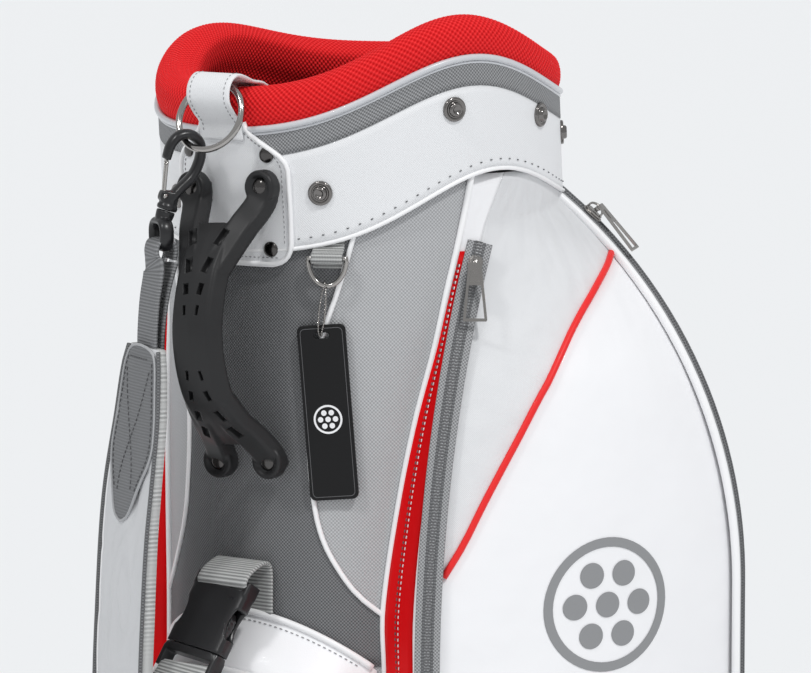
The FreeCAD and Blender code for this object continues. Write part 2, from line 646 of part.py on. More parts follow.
def pocket_section(z):
    root = size("pocket_root")
    near_root = round_about(near_root_angle(z), root, z)
    far_root = round_about(FAR_ROOT_ANGLE, root, z)
    inner = round_about((near_root_angle(z) + FAR_ROOT_ANGLE) / 2, root, z)
    near = drawn_in(front_edge(z), z)
    far = drawn_in(back_edge(z), z)
    chord = far - near
    outward = Vector(chord.y, -chord.x, 0).normalize()
    bulge = size("pocket_bulge") * min(1, (800 - z) / 120) * taper(z) + 4
    middle = (near + far) * 0.5 + outward * bulge
    return Part.Wire([Part.makeLine(near_root, near), Part.Arc(near, middle, far).toShape(),
                      Part.makeLine(far, far_root), Part.Arc(far_root, inner, near_root).toShape()])


POCKET_LEVELS = (78, 92, 133, 300, 480, 560, 620, 670, 715, 745, 765, 775, 781)


def side_pockets():
    solid = loft([pocket_section(z) for z in POCKET_LEVELS])
    above = Part.makeCylinder(size("collar_radius") + 1.5, 60, Vector(0, 0, 762))
    solid = solid.cut(above)
    gusset_levels = [z for z in POCKET_LEVELS if 130 < z < 720]
    strips = []
    for z in gusset_levels:
        near_root = round_about(near_root_angle(z), size("pocket_root") + 3, z)
        near = front_edge(z)
        outward = Vector(math.sin(math.radians(30)), -math.cos(math.radians(30)), 0)
        inset = near + (near_root - near) * 0.55
        strips.append(Part.makePolygon([near_root + outward * 1.0, inset + outward * 1.0,
                                        inset + outward * 2.2, near_root + outward * 2.2,
                                        near_root + outward * 1.0]))
    gusset = loft(strips)
    for label, turn in (("right", lambda shape: shape), ("left", mirrored)):
        made(label + "_pocket", turn(solid))
        made(label + "_gusset", turn(gusset))


def zip_parts():
    """For each side pocket zip: its tape, its slider and its pull, all on one arc."""
    width, thick = size("zip_width"), size("zip_thick")
    front_axis = Vector(1, 0, 0.03).normalize()
    front_centre = Vector(124.3, FRONT_EDGE_Y + size("front_zip_bend"), ZIP_TURN_FRONT)
    run_x, run_y = BACK_EDGE_RUN
    back_axis = Vector(-run_y, run_x, 0)
    reach = BACK_EDGE_DEEP - size("back_zip_bend")
    start_x, start_y = BACK_EDGE_START
    back_centre = Vector(start_x + reach * run_x, start_y + reach * run_y, ZIP_TURN_BACK)
    front_out = Vector(math.sin(math.radians(36)), -math.cos(math.radians(36)), 0)
    back_out = Vector(math.sin(math.radians(112)), -math.cos(math.radians(112)), 0)
    made_zips = {
        "front": zip_set(front_edge, front_axis, front_centre, front_out,
                         (ZIP_TURN_FRONT, 752), 748, width, thick),
        "back": zip_set(back_edge, back_axis, back_centre, back_out,
                        (ZIP_TURN_BACK, 776), 768, width, thick)}
    for zip_name, (tape, slider, pull) in made_zips.items():
        for side, turn in (("right", lambda shape: shape), ("left", mirrored)):
            made(f"{side}_{zip_name}_zip", turn(tape))
            made(f"{side}_{zip_name}_slider", turn(slider))
            made(f"{side}_{zip_name}_pull", turn(pull))


def arc_frame(edge, z, outward):
    """A frame on a zip line: Z up along the line, local -Y straight out of the cloth."""
    ahead = edge(z + 1) - edge(z - 1)
    up = ahead.normalize()
    right = up.cross(outward).normalize()
    return Placement(edge(z), Rotation(right, Vector(0, 0, 0), up, "ZXY"))


def zip_set(edge, axis, centre, outward, span, rest, width, thick):
    """Tape, slider and pull of one curved zip; the tape is a flat strip swept along the arc."""
    frame = arc_frame(edge, span[0], outward)
    corners = [frame.multVec(Vector(x, y, 0)) for x, y in
               ((-width / 2, -ZIP_LIFT), (width / 2, -ZIP_LIFT),
                (width / 2, -ZIP_LIFT - thick), (-width / 2, -ZIP_LIFT - thick))]
    face = Part.Face(Part.makePolygon(corners + corners[:1]))
    sweep = math.degrees((edge(span[0]) - centre).getAngle(edge(span[1]) - centre))
    tape = face.revolve(centre, axis * -1, sweep)
    back = math.degrees((edge(span[0]) - centre).getAngle(edge(rest) - centre))
    moved = Placement(Vector(0, 0, 0), Rotation(axis * -1, back), centre)
    slider, pull = slider_and_pull(moved.multiply(frame), thick)
    return tape, slider, pull


def slider_and_pull(place, thick):
    """A zip slider with a bored lug, and the pull that hangs on a pin through it."""
    top = -ZIP_LIFT - thick - 0.4
    body = Part.makeBox(9, 3.4, 13, Vector(-4.5, top - 3.4, -6.5))
    lug = Part.makeBox(3, 3.2, 8, Vector(-1.5, top - 6.4, -4))
    eyelet = Part.makeCylinder(1.3, 5, Vector(-2.5, top - 4.7, -0.4), Vector(1, 0, 0))
    slider = body.fuse(lug).cut(eyelet)
    pin = Part.makeCylinder(0.8, 6.8, Vector(-3.4, top - 4.7, -0.4), Vector(1, 0, 0))
    pull = pin.fuse(pull_plate(top - 6.8))
    slider.Placement = place
    pull.Placement = place
    return slider, pull


def pull_plate(y):
    """A trapezoid frame pull: a narrow head at the pin, a wide open foot."""
    outer = polygon([(-3.4, 0, 0.6), (3.4, 0, 0.6), (7.2, 0, -32), (-7.2, 0, -32)])
    window = polygon([(-2.4, 0, -14), (2.4, 0, -14), (4.6, 0, -28.6), (-4.6, 0, -28.6)])
    plate = Part.Face(outer).extrude(Vector(0, -1.8, 0)).cut(Part.Face(window).extrude(Vector(0, -1.8, 0)))
    ears = [Part.makeBox(1.2, 4.1, 1.6, Vector(x, -1.2, -1.2)) for x in (-3.4, 2.2)]
    fork = Part.makeBox(3.8, 6, 8, Vector(-1.9, -3, -5))
    plate = plate.cut(fork).fuse(ears)
    plate.translate(Vector(0, y, 0))
    return plate


def spine_pocket():
    """The low pocket on the spine, with a sloped top."""
    half, deep, top = size("spine_pocket_half"), size("spine_pocket_deep"), size("spine_pocket_top")
    root = size("pocket_root")
    low = size("base_height") + 40
    sections = []
    for z, share, span in ((low, 0.5, 0.86), (low + 30, 1, 1), (top - 34, 1, 1), (top - 6, 0.12, 0.9)):
        start = round_about(-half * span, root, z)
        end = round_about(half * span, root, z)
        near = round_about(-half * span * 0.9, root + deep * share * 0.75, z)
        far = round_about(half * span * 0.9, root + deep * share * 0.75, z)
        front = round_about(0, root + deep * share, z)
        inner = round_about(0, root, z)
        sections.append(Part.Wire([Part.makeLine(start, near), Part.Arc(near, front, far).toShape(),
                                   Part.makeLine(far, end), Part.Arc(end, inner, start).toShape()]))
    made("spine_pocket", loft(sections))


def ball_pocket():
    """The ball pocket at the back, with its own zip across the front face."""
    half, deep = size("ball_pocket_half"), size("ball_pocket_deep")
    low, top, root = size("ball_pocket_low"), size("ball_pocket_top"), size("pocket_root")
    side = root * math.sin(math.radians(half))
    inner_y = root * math.cos(math.radians(half))
    sections = []
    for z, share in ((low, 0.7), (low + 30, 1), (top - 60, 1), (top - 15, 0.7), (top, 0.3)):
        front = root + deep * share
        sections.append(Part.Wire([
            Part.makeLine(Vector(side, inner_y, z), Vector(side * 0.94, front - 14, z)),
            Part.Arc(Vector(side * 0.94, front - 14, z), Vector(0, front, z),
                     Vector(-side * 0.94, front - 14, z)).toShape(),
            Part.makeLine(Vector(-side * 0.94, front - 14, z), Vector(-side, inner_y, z)),
            Part.Arc(Vector(-side, inner_y, z), Vector(0, root, z), Vector(side, inner_y, z)).toShape()]))
    made("ball_pocket", loft(sections))
    zip_frame = facing(180 - 12, Vector(44, root + deep - 6.5, 0))
    thick = size("zip_thick")
    tape = Part.makeBox(size("zip_width"), thick, 220, Vector(-size("zip_width") / 2, -ZIP_LIFT - thick, 160))
    made("ball_zip", tape, zip_frame)
    rest = zip_frame.multiply(Placement(Vector(0, 0, 362), Rotation()))
    slider, pull = slider_and_pull(rest, thick)
    made("ball_slider", slider)
    made("ball_pull", pull)


def check_and_write():
    """Stop on any failed or invalid object, then write each sub-part."""
    doc.recompute()
    for item in doc.Objects:
        if "Invalid" in item.State or "Error" in item.State:
            raise RuntimeError(f"{item.Label}: {item.State}")
    os.makedirs("parts", exist_ok=True)
    for item in pieces:
        if item.Shape.isNull() or not item.Shape.isValid():
            raise RuntimeError(f"{item.Label}: bad shape")
        if item.Shape.Volume <= 0:
            raise RuntimeError(f"{item.Label}: no volume")
    for item in pieces:
        item.Shape.exportStep(f"parts/{item.Label}.step")
        box = item.Shape.BoundBox
        print(f"{item.Label:22s} {item.Shape.Volume / 1000:9.2f} cm3  solids {len(item.Shape.Solids)}"
              f"  z {box.ZMin:.1f} to {box.ZMax:.1f}")


base_and_barrel()
cuff_shape = collar()
dividers()
hood_snaps()
handle_patch(cuff_shape)
handle()
strap_hardware()
strap()
buckle()
tag()
side_pockets()
zip_parts()
spine_pocket()
ball_pocket()
check_and_write()
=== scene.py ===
"""The looks of a staff golf bag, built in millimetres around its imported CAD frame.

The spine and the handle face -Y and +Z is up. Angles go round the barrel from -Y to +X.
"""
import math

import bmesh
import bpy
from mathutils import Matrix, Vector, noise


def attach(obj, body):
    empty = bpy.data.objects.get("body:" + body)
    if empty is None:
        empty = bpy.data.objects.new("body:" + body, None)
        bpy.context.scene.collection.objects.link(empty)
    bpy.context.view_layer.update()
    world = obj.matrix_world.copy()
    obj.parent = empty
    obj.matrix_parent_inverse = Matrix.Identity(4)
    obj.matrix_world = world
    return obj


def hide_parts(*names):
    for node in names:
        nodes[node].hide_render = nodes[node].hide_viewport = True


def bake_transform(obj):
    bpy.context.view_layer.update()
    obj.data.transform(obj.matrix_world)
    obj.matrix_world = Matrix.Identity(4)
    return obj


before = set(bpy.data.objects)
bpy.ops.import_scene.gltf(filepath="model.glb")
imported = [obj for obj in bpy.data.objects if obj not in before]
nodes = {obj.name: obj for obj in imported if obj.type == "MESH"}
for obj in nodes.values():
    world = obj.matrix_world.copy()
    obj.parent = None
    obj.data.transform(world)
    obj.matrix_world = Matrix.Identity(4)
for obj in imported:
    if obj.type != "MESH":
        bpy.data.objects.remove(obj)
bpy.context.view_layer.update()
MM = 0.001


# ---------------------------------------------------------------- shape of the bag
LEAN = Matrix.Rotation(math.radians(4), 3, "X")
LEAN_FROM = Vector((0, 0, 770))
COLLAR_R = 121.5
CUFF_INNER_R = 96
BARREL_R = 118.4
TAPE_LOW, CUFF_LOW = 821, 838.6
FRONT_BEND, FRONT_TURN, FRONT_Y = 680, 480, -97
BACK_BEND, BACK_TURN, BACK_DEEP = 300, 550, 109
BACK_START = Vector((99, 69.4, 0))
BACK_RUN = Vector((0.912, 0.411, 0))
FAR_ROOT = 146
POCKET_LOW, POCKET_ROUND, POCKET_TOP = 78, 55, 803
POCKET_BULGE, POCKET_WIDE = 20, 205
ZIP_FOOT = 140
SIDES = (("right", 1), ("left", -1))


def around(angle, radius, z=0.0):
    """The point at an angle round the barrel."""
    turn = math.radians(angle)
    return Vector((radius * math.sin(turn), -radius * math.cos(turn), z))


def lean(point):
    """A collar point in the frame of the bag: the collar tips a little towards the spine."""
    return LEAN_FROM + LEAN @ (Vector(point) - LEAN_FROM)


def sideways(angle):
    """The level direction along the barrel's skin at an angle round it."""
    turn = math.radians(angle)
    return Vector((math.cos(turn), math.sin(turn), 0))


def mirrored(point, sign):
    """The same point, on the left side when sign is -1."""
    return Vector((point.x * sign, point.y, point.z))


def ease(value, low, high):
    """0 below low, 1 above high, smooth between."""
    share = min(max((value - low) / (high - low), 0), 1)
    return share * share * (3 - 2 * share)


def curve_through(points):
    """A smooth function through (place, value) pairs in rising order of place."""
    places = [place for place, _ in points]
    values = [value for _, value in points]

    def slope(index):
        low, high = max(index - 1, 0), min(index + 1, len(points) - 1)
        return (values[high] - values[low]) / (places[high] - places[low])

    def value_at(place):
        place = min(max(place, places[0]), places[-1])
        index = max(i for i in range(len(points) - 1) if places[i] <= place)
        span = places[index + 1] - places[index]
        t = (place - places[index]) / span
        first, second = slope(index) * span, slope(index + 1) * span
        return ((2 * t ** 3 - 3 * t ** 2 + 1) * values[index] + (t ** 3 - 2 * t ** 2 + t) * first
                + (3 * t ** 2 - 2 * t ** 3) * values[index + 1] + (t ** 3 - t ** 2) * second)

    return value_at


def saddle(angle, low):
    """Height of the collar's saddle line: low at the spine, high at the sides, lower on the left."""
    rise, middle, spread = (38.5, 71, 36) if angle >= 0 else (21.5, 88, 33)
    return low + rise * math.exp(-((abs(angle) - middle) / spread) ** 2)


def hem(angle):
    """Height of the collar's stitched lower edge."""
    rise, middle, spread = (37, 77, 34) if angle >= 0 else (22, 88, 34)
    return 772 - 5.8 * math.cos(math.radians(angle)) + rise * math.exp(-((abs(angle) - middle) / spread) ** 2)


gusset_line = curve_through([(60, 44), (508, 44), (545, 43.6), (607, 47.8), (658, 52.8), (702, 58.6), (734, 62.2),
                             (766, 66.2), (810, 71)])
spine_right = curve_through([(500, 62), (533, 49.5), (554, 37.2), (569, 31.5), (587, 26.8), (608, 24.2),
                             (650, 22.6), (689, 24.6), (713, 27.2), (736, 31), (775, 36.5)])


def front_edge(z):
    """The side pocket's near edge: upright low down, bending back in one arc above."""
    rise = max(z - FRONT_TURN, 0)
    back = FRONT_BEND - math.sqrt(FRONT_BEND ** 2 - rise ** 2)
    return Vector((116 + 0.03 * (757 - max(z, FRONT_TURN)), FRONT_Y + back, z))


def back_edge(z):
    """The side pocket's far edge, which rounds over towards the collar."""
    rise = min(max(z - BACK_TURN, 0), BACK_BEND - 1)
    reach = BACK_DEEP - BACK_BEND + math.sqrt(BACK_BEND ** 2 - rise ** 2)
    spot = BACK_START + BACK_RUN * reach
    return Vector((spot.x, spot.y, z))


def pocket_taper(z):
    """How far the pocket stands out near its rounded foot."""
    share = min(max((z - POCKET_LOW) / POCKET_ROUND, 0), 1)
    return 0.55 + 0.45 * math.sqrt(1 - (1 - share) ** 2)


def angle_of(point):
    """The angle of a point round the barrel."""
    return math.degrees(math.atan2(point.x, -point.y))


def drawn_in(point, z):
    """A point moved towards the barrel near the pocket's foot, and kept outside the collar above."""
    root = around(angle_of(point), BARREL_R, z)
    moved = root + (Vector((point.x, point.y, z)) - root) * pocket_taper(z)
    radius = math.hypot(moved.x, moved.y)
    least = BARREL_R + 1.2
    if radius < least:
        moved = around(angle_of(moved), least, z)
    return moved


def pocket_front(share, z):
    """A point on the pocket's outer panel: share 0 at the near edge, 1 at the far edge."""
    near, far = front_edge(z), back_edge(z)
    chord = far - near
    outward = Vector((chord.y, -chord.x, 0)).normalized()
    bulge = POCKET_BULGE * min(1, max(0, 800 - z) / 120) + 4
    sag = 1.6 * noise.noise(Vector((share * 2.1, z / 95, 3.7))) * ease(share, 0, 0.2) * ease(1 - share, 0, 0.2)
    return drawn_in(near + chord * share + outward * (bulge * 4 * share * (1 - share) + sag), z)


def pocket_near(share, z):
    """A point on the pocket's near wall: share 0 on the barrel, 1 at the near edge."""
    root = around(gusset_line(z), BARREL_R, z)
    edge = drawn_in(front_edge(z), z)
    return root + (edge - root) * share


def pocket_far(share, z):
    """A point on the pocket's far wall: share 0 at the far edge, 1 on the barrel."""
    edge = drawn_in(back_edge(z), z)
    root = around(FAR_ROOT, BARREL_R, z)
    hollow = math.sin(math.pi * share) * 3 * pocket_taper(z)
    return edge + (root - edge) * share + Vector((0.3, 1, 0)) * hollow * 0.4


# ---------------------------------------------------------------- mesh helpers
CLOTH_MAP = "Cloth"


def steps(low, high, step):
    """Evenly spaced values from low to high, about a step apart."""
    count = max(int(round(abs(high - low) / step)), 1)
    return [low + (high - low) * index / count for index in range(count + 1)]


def quads(rows, columns, round_rows=False, round_columns=True):
    """Four-cornered faces over rows of points; rows and columns may each close on themselves."""
    faces = []
    for row in range(rows if round_rows else rows - 1):
        here, beyond = row * columns, (row + 1) % rows * columns
        for column in range(columns if round_columns else columns - 1):
            beside = (column + 1) % columns
            faces.append((here + column, here + beside, beyond + beside, beyond + column))
    return faces


def new_object(name, vertices, faces, cloth=None, smooth=True):
    """A mesh object from points in millimetres; cloth gives each vertex its place on the flat cloth."""
    mesh = bpy.data.meshes.new(name)
    mesh.from_pydata([Vector(v) * MM for v in vertices], [], faces)
    if cloth:
        layer = mesh.uv_layers.new(name=CLOTH_MAP)
        for loop in mesh.loops:
            layer.data[loop.index].uv = cloth[loop.vertex_index]
    if smooth:
        mesh.shade_smooth()
    mesh.update()
    piece = bpy.data.objects.new(name, mesh)
    bpy.context.scene.collection.objects.link(piece)
    return piece


def finish_piece(piece, material, body="root", replaces=()):
    """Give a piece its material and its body."""
    piece.data.materials.clear()
    piece.data.materials.append(material)
    if body:
        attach(piece, body)
    if replaces:
        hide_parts(*replaces)
    return piece


def thicken(piece, thick):
    """Give a cloth its thickness, inwards from its face."""
    solid = piece.modifiers.new("thickness", "SOLIDIFY")
    solid.thickness = thick * MM
    solid.offset = -1
    solid.use_even_offset = False
    return piece


def round_off(piece, width):
    """Take the sharpness off a piece's edges."""
    bevel = piece.modifiers.new("soft_edges", "BEVEL")
    bevel.width = width * MM
    bevel.segments = 2
    bevel.limit_method = "ANGLE"
    bevel.angle_limit = math.radians(35)


def grid(name, across, up, point, cloth=None, closed=False, flip=False, thick=1.2):
    """A cloth over a grid of two parameters; cloth(u, v) is the place on the flat cloth, in millimetres."""
    vertices = [point(u, v) for v in up for u in across]
    places = [cloth(u, v) if cloth else (u, v) for v in up for u in across]
    faces = quads(len(up), len(across), round_columns=closed)
    piece = new_object(name, vertices, [face[::-1] for face in faces] if flip else faces, places)
    if thick:
        thicken(piece, thick)
    return piece


def frames_along(path, closed=False, normal=None):
    """Side and normal directions along a path, turning as little as they can."""
    found = []
    last = None
    count = len(path)
    for index, here in enumerate(path):
        before = path[index - 1] if index or closed else here
        after = path[(index + 1) % count] if index < count - 1 or closed else here
        ahead = (after - before).normalized()
        if normal:
            out = normal(index)
        elif last is None:
            out = ahead.orthogonal()
        else:
            out = last
        out = (out - ahead * out.dot(ahead)).normalized()
        last = out
        found.append((ahead.cross(out), out))
    return found


def sweep(name, path, section, closed=False, normal=None, sized=None):
    """A section of (side, out) pairs carried along a path; sized(index) scales it there."""
    path = [Vector(point) for point in path]
    frames = frames_along(path, closed, normal)
    vertices, places = [], []
    run = 0.0
    for index, (here, (side, out)) in enumerate(zip(path, frames)):
        scale_side, scale_out = sized(index) if sized else (1, 1)
        if index:
            run += (here - path[index - 1]).length
        for a, b in section:
            vertices.append(here + side * (a * scale_side) + out * (b * scale_out))
            places.append((a * scale_side, run))
    width, rings = len(section), len(path)
    faces = [(a, d, c, b) for a, b, c, d in quads(rings, width, round_rows=closed)]
    if not closed:
        faces.append(tuple(range(width)))
        faces.append(tuple(range(rings * width - 1, (rings - 1) * width - 1, -1)))
    return new_object(name, vertices, faces, places)


def disc(radius, sides=10):
    """A round section."""
    return [(radius * math.cos(2 * math.pi * i / sides), radius * math.sin(2 * math.pi * i / sides))
            for i in range(sides)]


def flat_section(width, thick, rows=6):
    """A webbing's section: flat faces and round edges."""
    half, edge = width / 2, thick / 2
    lower = [(x, -edge) for x in steps(-half + edge, half - edge, width / rows)]
    upper = [(x, edge) for x in steps(half - edge, -half + edge, width / rows)]
    return lower + [(half, 0)] + upper + [(-half, 0)]


def web_normals(path, side_at):
    """The face directions of a webbing along a path whose width runs along side_at(index)."""
    normals = []
    for index in range(len(path)):
        ahead = path[min(index + 1, len(path) - 1)] - path[max(index - 1, 0)]
        normals.append(side_at(index).cross(ahead).normalized())
    return normals


def tube(name, path, radius, material, closed=False, sides=10, replaces=()):
    """A round cord along a path, on the root body."""
    return finish_piece(sweep(name, path, disc(radius, sides), closed), material, "root", replaces)


def joined(name, parts):
    """Several objects as one."""
    bpy.ops.object.select_all(action="DESELECT")
    for part in parts:
        part.select_set(True)
        bpy.context.view_layer.objects.active = part
        for modifier in list(part.modifiers):
            bpy.ops.object.modifier_apply(modifier=modifier.name)
    bpy.context.view_layer.objects.active = parts[0]
    bpy.ops.object.join()
    parts[0].name = name
    return parts[0]


def lathe(name, profile, place, sides=32, ring=False):
    """A turned piece: (radius, height) pairs about the local axis that points along place's -Y.

    A ring's section closes on itself and doesn't reach the axis.
    """
    vertices = []
    for radius, height in profile:
        for index in range(sides):
            turn = 2 * math.pi * index / sides
            vertices.append(place @ Vector((radius * math.cos(turn), -height, radius * math.sin(turn))))
    faces = quads(len(profile), sides, round_rows=ring)
    if not ring:
        faces.append(tuple(range(sides - 1, -1, -1)))
        faces.append(tuple(range(len(vertices) - sides, len(vertices))))
    return new_object(name, vertices, faces)


def place_at(point, outward, up=(0, 0, 1)):
    """A frame whose -Y points outward and whose Z lies near up."""
    back = -Vector(outward).normalized()
    side = back.cross(Vector(up)).normalized()
    top = side.cross(back)
    turn = Matrix((side, back, top)).transposed().to_4x4()
    return Matrix.Translation(Vector(point)) @ turn


def stitches(name, path, normals, material, pitch=5.0, length=3.4, radius=0.45):
    """A row of separate thread stitches laid along a path, a little above the cloth."""
    lengths = [0.0]
    for first, second in zip(path, path[1:]):
        lengths.append(lengths[-1] + (Vector(second) - Vector(first)).length)
    vertices, faces = [], []
    place = pitch / 2
    index = 0
    while place < lengths[-1] - length / 2:
        while lengths[index + 1] < place:
            index += 1
        share = (place - lengths[index]) / (lengths[index + 1] - lengths[index])
        here = Vector(path[index]).lerp(Vector(path[index + 1]), share)
        ahead = (Vector(path[index + 1]) - Vector(path[index])).normalized()
        out = Vector(normals[index]).normalized()
        side = ahead.cross(out)
        start = len(vertices)
        for along, size in ((-0.5, 0.35), (-0.3, 1), (0.3, 1), (0.5, 0.35)):
            for turn in range(6):
                angle = math.pi / 3 * turn
                lift = 0.25 if abs(along) > 0.4 else 0.55
                vertices.append(here + ahead * (along * length) + side * (radius * size * math.cos(angle))
                                + out * (radius * size * math.sin(angle) + lift * radius))
        for ring in range(3):
            for turn in range(6):
                beside = (turn + 1) % 6
                base = start + ring * 6
                faces.append((base + turn, base + 6 + turn, base + 6 + beside, base + beside))
        faces.append(tuple(start + turn for turn in range(6)))
        faces.append(tuple(start + 18 + turn for turn in range(5, -1, -1)))
        place += pitch
    return finish_piece(new_object(name, vertices, faces), material)


# ---------------------------------------------------------------- materials
def linear(channel):
    """A screen colour channel in linear light."""
    channel /= 255
    return channel / 12.92 if channel <= 0.04045 else ((channel + 0.055) / 1.055) ** 2.4


def colour(red, green, blue):
    return (linear(red), linear(green), linear(blue), 1)


class Shader:
    """A material and the few node calls that the finishes below need."""

    def __init__(self, name, base, rough=0.5, metallic=0.0, specular=0.5, sheen=0.0, coat=0.0, coords="UV"):
        self.material = bpy.data.materials.new(name)
        self.material.use_nodes = True
        self.nodes = self.material.node_tree.nodes
        self.links = self.material.node_tree.links
        self.shader = self.nodes["Principled BSDF"]
        self.shader.inputs["Base Color"].default_value = base
        self.shader.inputs["Roughness"].default_value = rough
        self.shader.inputs["Metallic"].default_value = metallic
        self.shader.inputs["Specular IOR Level"].default_value = specular
        self.shader.inputs["Sheen Weight"].default_value = sheen
        self.shader.inputs["Coat Weight"].default_value = coat
        if coords == "UV":
            place = self.nodes.new("ShaderNodeUVMap")
            place.uv_map = CLOTH_MAP
            self.coords = place.outputs["UV"]
        else:
            place = self.nodes.new("ShaderNodeTexCoord")
            scaled = self.nodes.new("ShaderNodeVectorMath")
            scaled.operation = "SCALE"
            scaled.inputs["Scale"].default_value = 1 / MM
            self.links.new(place.outputs["Object"], scaled.inputs[0])
            self.coords = scaled.outputs[0]
        split = self.nodes.new("ShaderNodeSeparateXYZ")
        self.links.new(self.coords, split.inputs[0])
        self.x, self.y, self.z = split.outputs[0], split.outputs[1], split.outputs[2]
        self.height = None

    def math(self, operation, first, second=0.0, third=None):
        node = self.nodes.new("ShaderNodeMath")
        node.operation = operation
        for socket, value in zip(node.inputs, (first, second) if third is None else (first, second, third)):
            if isinstance(value, (int, float)):
                socket.default_value = value
            else:
                self.links.new(value, socket)
        return node.outputs[0]

    def wave(self, value, pitch, shift=0.0):
        """A sine of one coordinate with that pitch in millimetres."""
        turned = self.math("MULTIPLY_ADD", value, 2 * math.pi / pitch, shift)
        return self.math("SINE", turned)

    def noise(self, scale, detail=2.0, rough=0.5):
        """Noise whose features are about that many millimetres."""
        node = self.nodes.new("ShaderNodeTexNoise")
        node.inputs["Scale"].default_value = 1 / scale
        node.inputs["Detail"].default_value = detail
        node.inputs["Roughness"].default_value = rough
        self.links.new(self.coords, node.inputs["Vector"])
        return node.outputs["Fac"]

    def ramp(self, value, low, high):
        """A value between low and high brought to between 0 and 1."""
        node = self.nodes.new("ShaderNodeMapRange")
        node.inputs["From Min"].default_value = low
        node.inputs["From Max"].default_value = high
        self.links.new(value, node.inputs["Value"])
        return node.outputs[0]

    def mix(self, share, first, second):
        node = self.nodes.new("ShaderNodeMix")
        node.data_type = "RGBA"
        for socket, value in ((node.inputs[0], share), (node.inputs[6], first), (node.inputs[7], second)):
            if isinstance(value, (int, float, tuple)):
                socket.default_value = value
            else:
                self.links.new(value, socket)
        return node.outputs[2]

    def paint(self, source):
        self.links.new(source, self.shader.inputs["Base Color"])
        return self

    def roughen(self, source, low, high):
        self.links.new(self.math("MULTIPLY_ADD", source, high - low, low), self.shader.inputs["Roughness"])
        return self

    def bump(self, source, depth):
        """Raise the surface by a height that runs from 0 to 1, depth in millimetres."""
        node = self.nodes.new("ShaderNodeBump")
        node.inputs["Strength"].default_value = 1.0
        node.inputs["Distance"].default_value = depth * MM
        self.links.new(source, node.inputs["Height"])
        if self.height is not None:
            self.links.new(self.height, node.inputs["Normal"])
        self.height = node.outputs[0]
        self.links.new(self.height, self.shader.inputs["Normal"])
        return self


def shade(base, factor):
    """A colour made lighter or darker."""
    return tuple(min(channel * factor, 1) for channel in base[:3]) + (1,)


def woven(name, base, pitch, depth=0.25, contrast=0.12, kind="plain", rough=0.75, **more):
    """Cloth of crossing yarns, with painted shade in the weave's hollows and painted light on its raised yarns;
    kind is plain or ribbed.
    """
    finish = Shader(name, base, rough, **more)
    if kind == "plain":
        weave = finish.math("MULTIPLY", finish.wave(finish.x, pitch), finish.wave(finish.y, pitch))
    else:
        weave = finish.wave(finish.y, pitch)
        fine = finish.wave(finish.x, pitch * 0.45)
        weave = finish.math("MULTIPLY_ADD", fine, 0.3, weave)
    height = finish.ramp(weave, -1, 1)
    worn = finish.noise(38, 4)
    # painted shade and light: the cloth is drawn darker in the weave's hollows and lighter on its raised yarns,
    # following the bump's height
    dark = shade(base, 1 - contrast * 2)
    shaded_weave = finish.mix(height, dark, shade(base, 1 + contrast))
    finish.paint(finish.mix(finish.math("MULTIPLY", worn, 0.16), shaded_weave, shade(base, 0.8)))
    finish.roughen(worn, rough - 0.08, rough + 0.08)
    return finish.bump(height, depth).material


def leatherette(name, base, pitch=0.0, depth=0.06, rough=0.42, coat=0.05, crease=0.0, **more):
    """Coated cloth: a fine emboss, faint cloudiness and a satin coat."""
    finish = Shader(name, base, rough, coat=coat, **more)
    cloud = finish.noise(60, 3)
    grain = finish.noise(0.9, 3, 0.6)
    finish.paint(finish.mix(cloud, shade(base, 0.975), shade(base, 1.02)))
    finish.roughen(cloud, rough - 0.05, rough + 0.07)
    finish.bump(grain, depth)
    if pitch:
        weave = finish.math("MULTIPLY", finish.wave(finish.x, pitch), finish.wave(finish.y, pitch))
        finish.bump(finish.ramp(weave, -1, 1), depth * 1.6)
    if crease:
        finish.bump(finish.noise(42, 2), crease)
    return finish.material


def moulded(name, base, rough=0.38, grain=1.2, depth=0.03, **more):
    """Moulded plastic or rubber with a fine spark texture and slightly worn gloss."""
    finish = Shader(name, base, rough, coords="Object", **more)
    worn = finish.noise(14, 4)
    finish.paint(finish.mix(worn, shade(base, 0.88), shade(base, 1.15)))
    finish.roughen(worn, rough - 0.08, rough + 0.1)
    return finish.bump(finish.noise(grain, 2), depth).material


def metal(name, base, rough):
    """Plated metal with light scuffs."""
    finish = Shader(name, base, rough, metallic=1.0, coords="Object")
    scuffs = finish.noise(6, 3, 0.5)
    finish.paint(finish.mix(scuffs, shade(base, 0.94), shade(base, 1.04)))
    finish.roughen(scuffs, rough * 0.8, rough * 1.3)
    return finish.bump(finish.noise(9, 2), 0.01).material


WHITE = colour(244, 244, 246)
COLLAR_WHITE = colour(234, 235, 237)
PANEL_GREY = colour(226, 227, 229)
SIDE_GREY = colour(186, 187, 189)
SPINE_GREY = colour(120, 121, 123)
RED = colour(222, 6, 14)
PIPING_RED = colour(236, 44, 44)

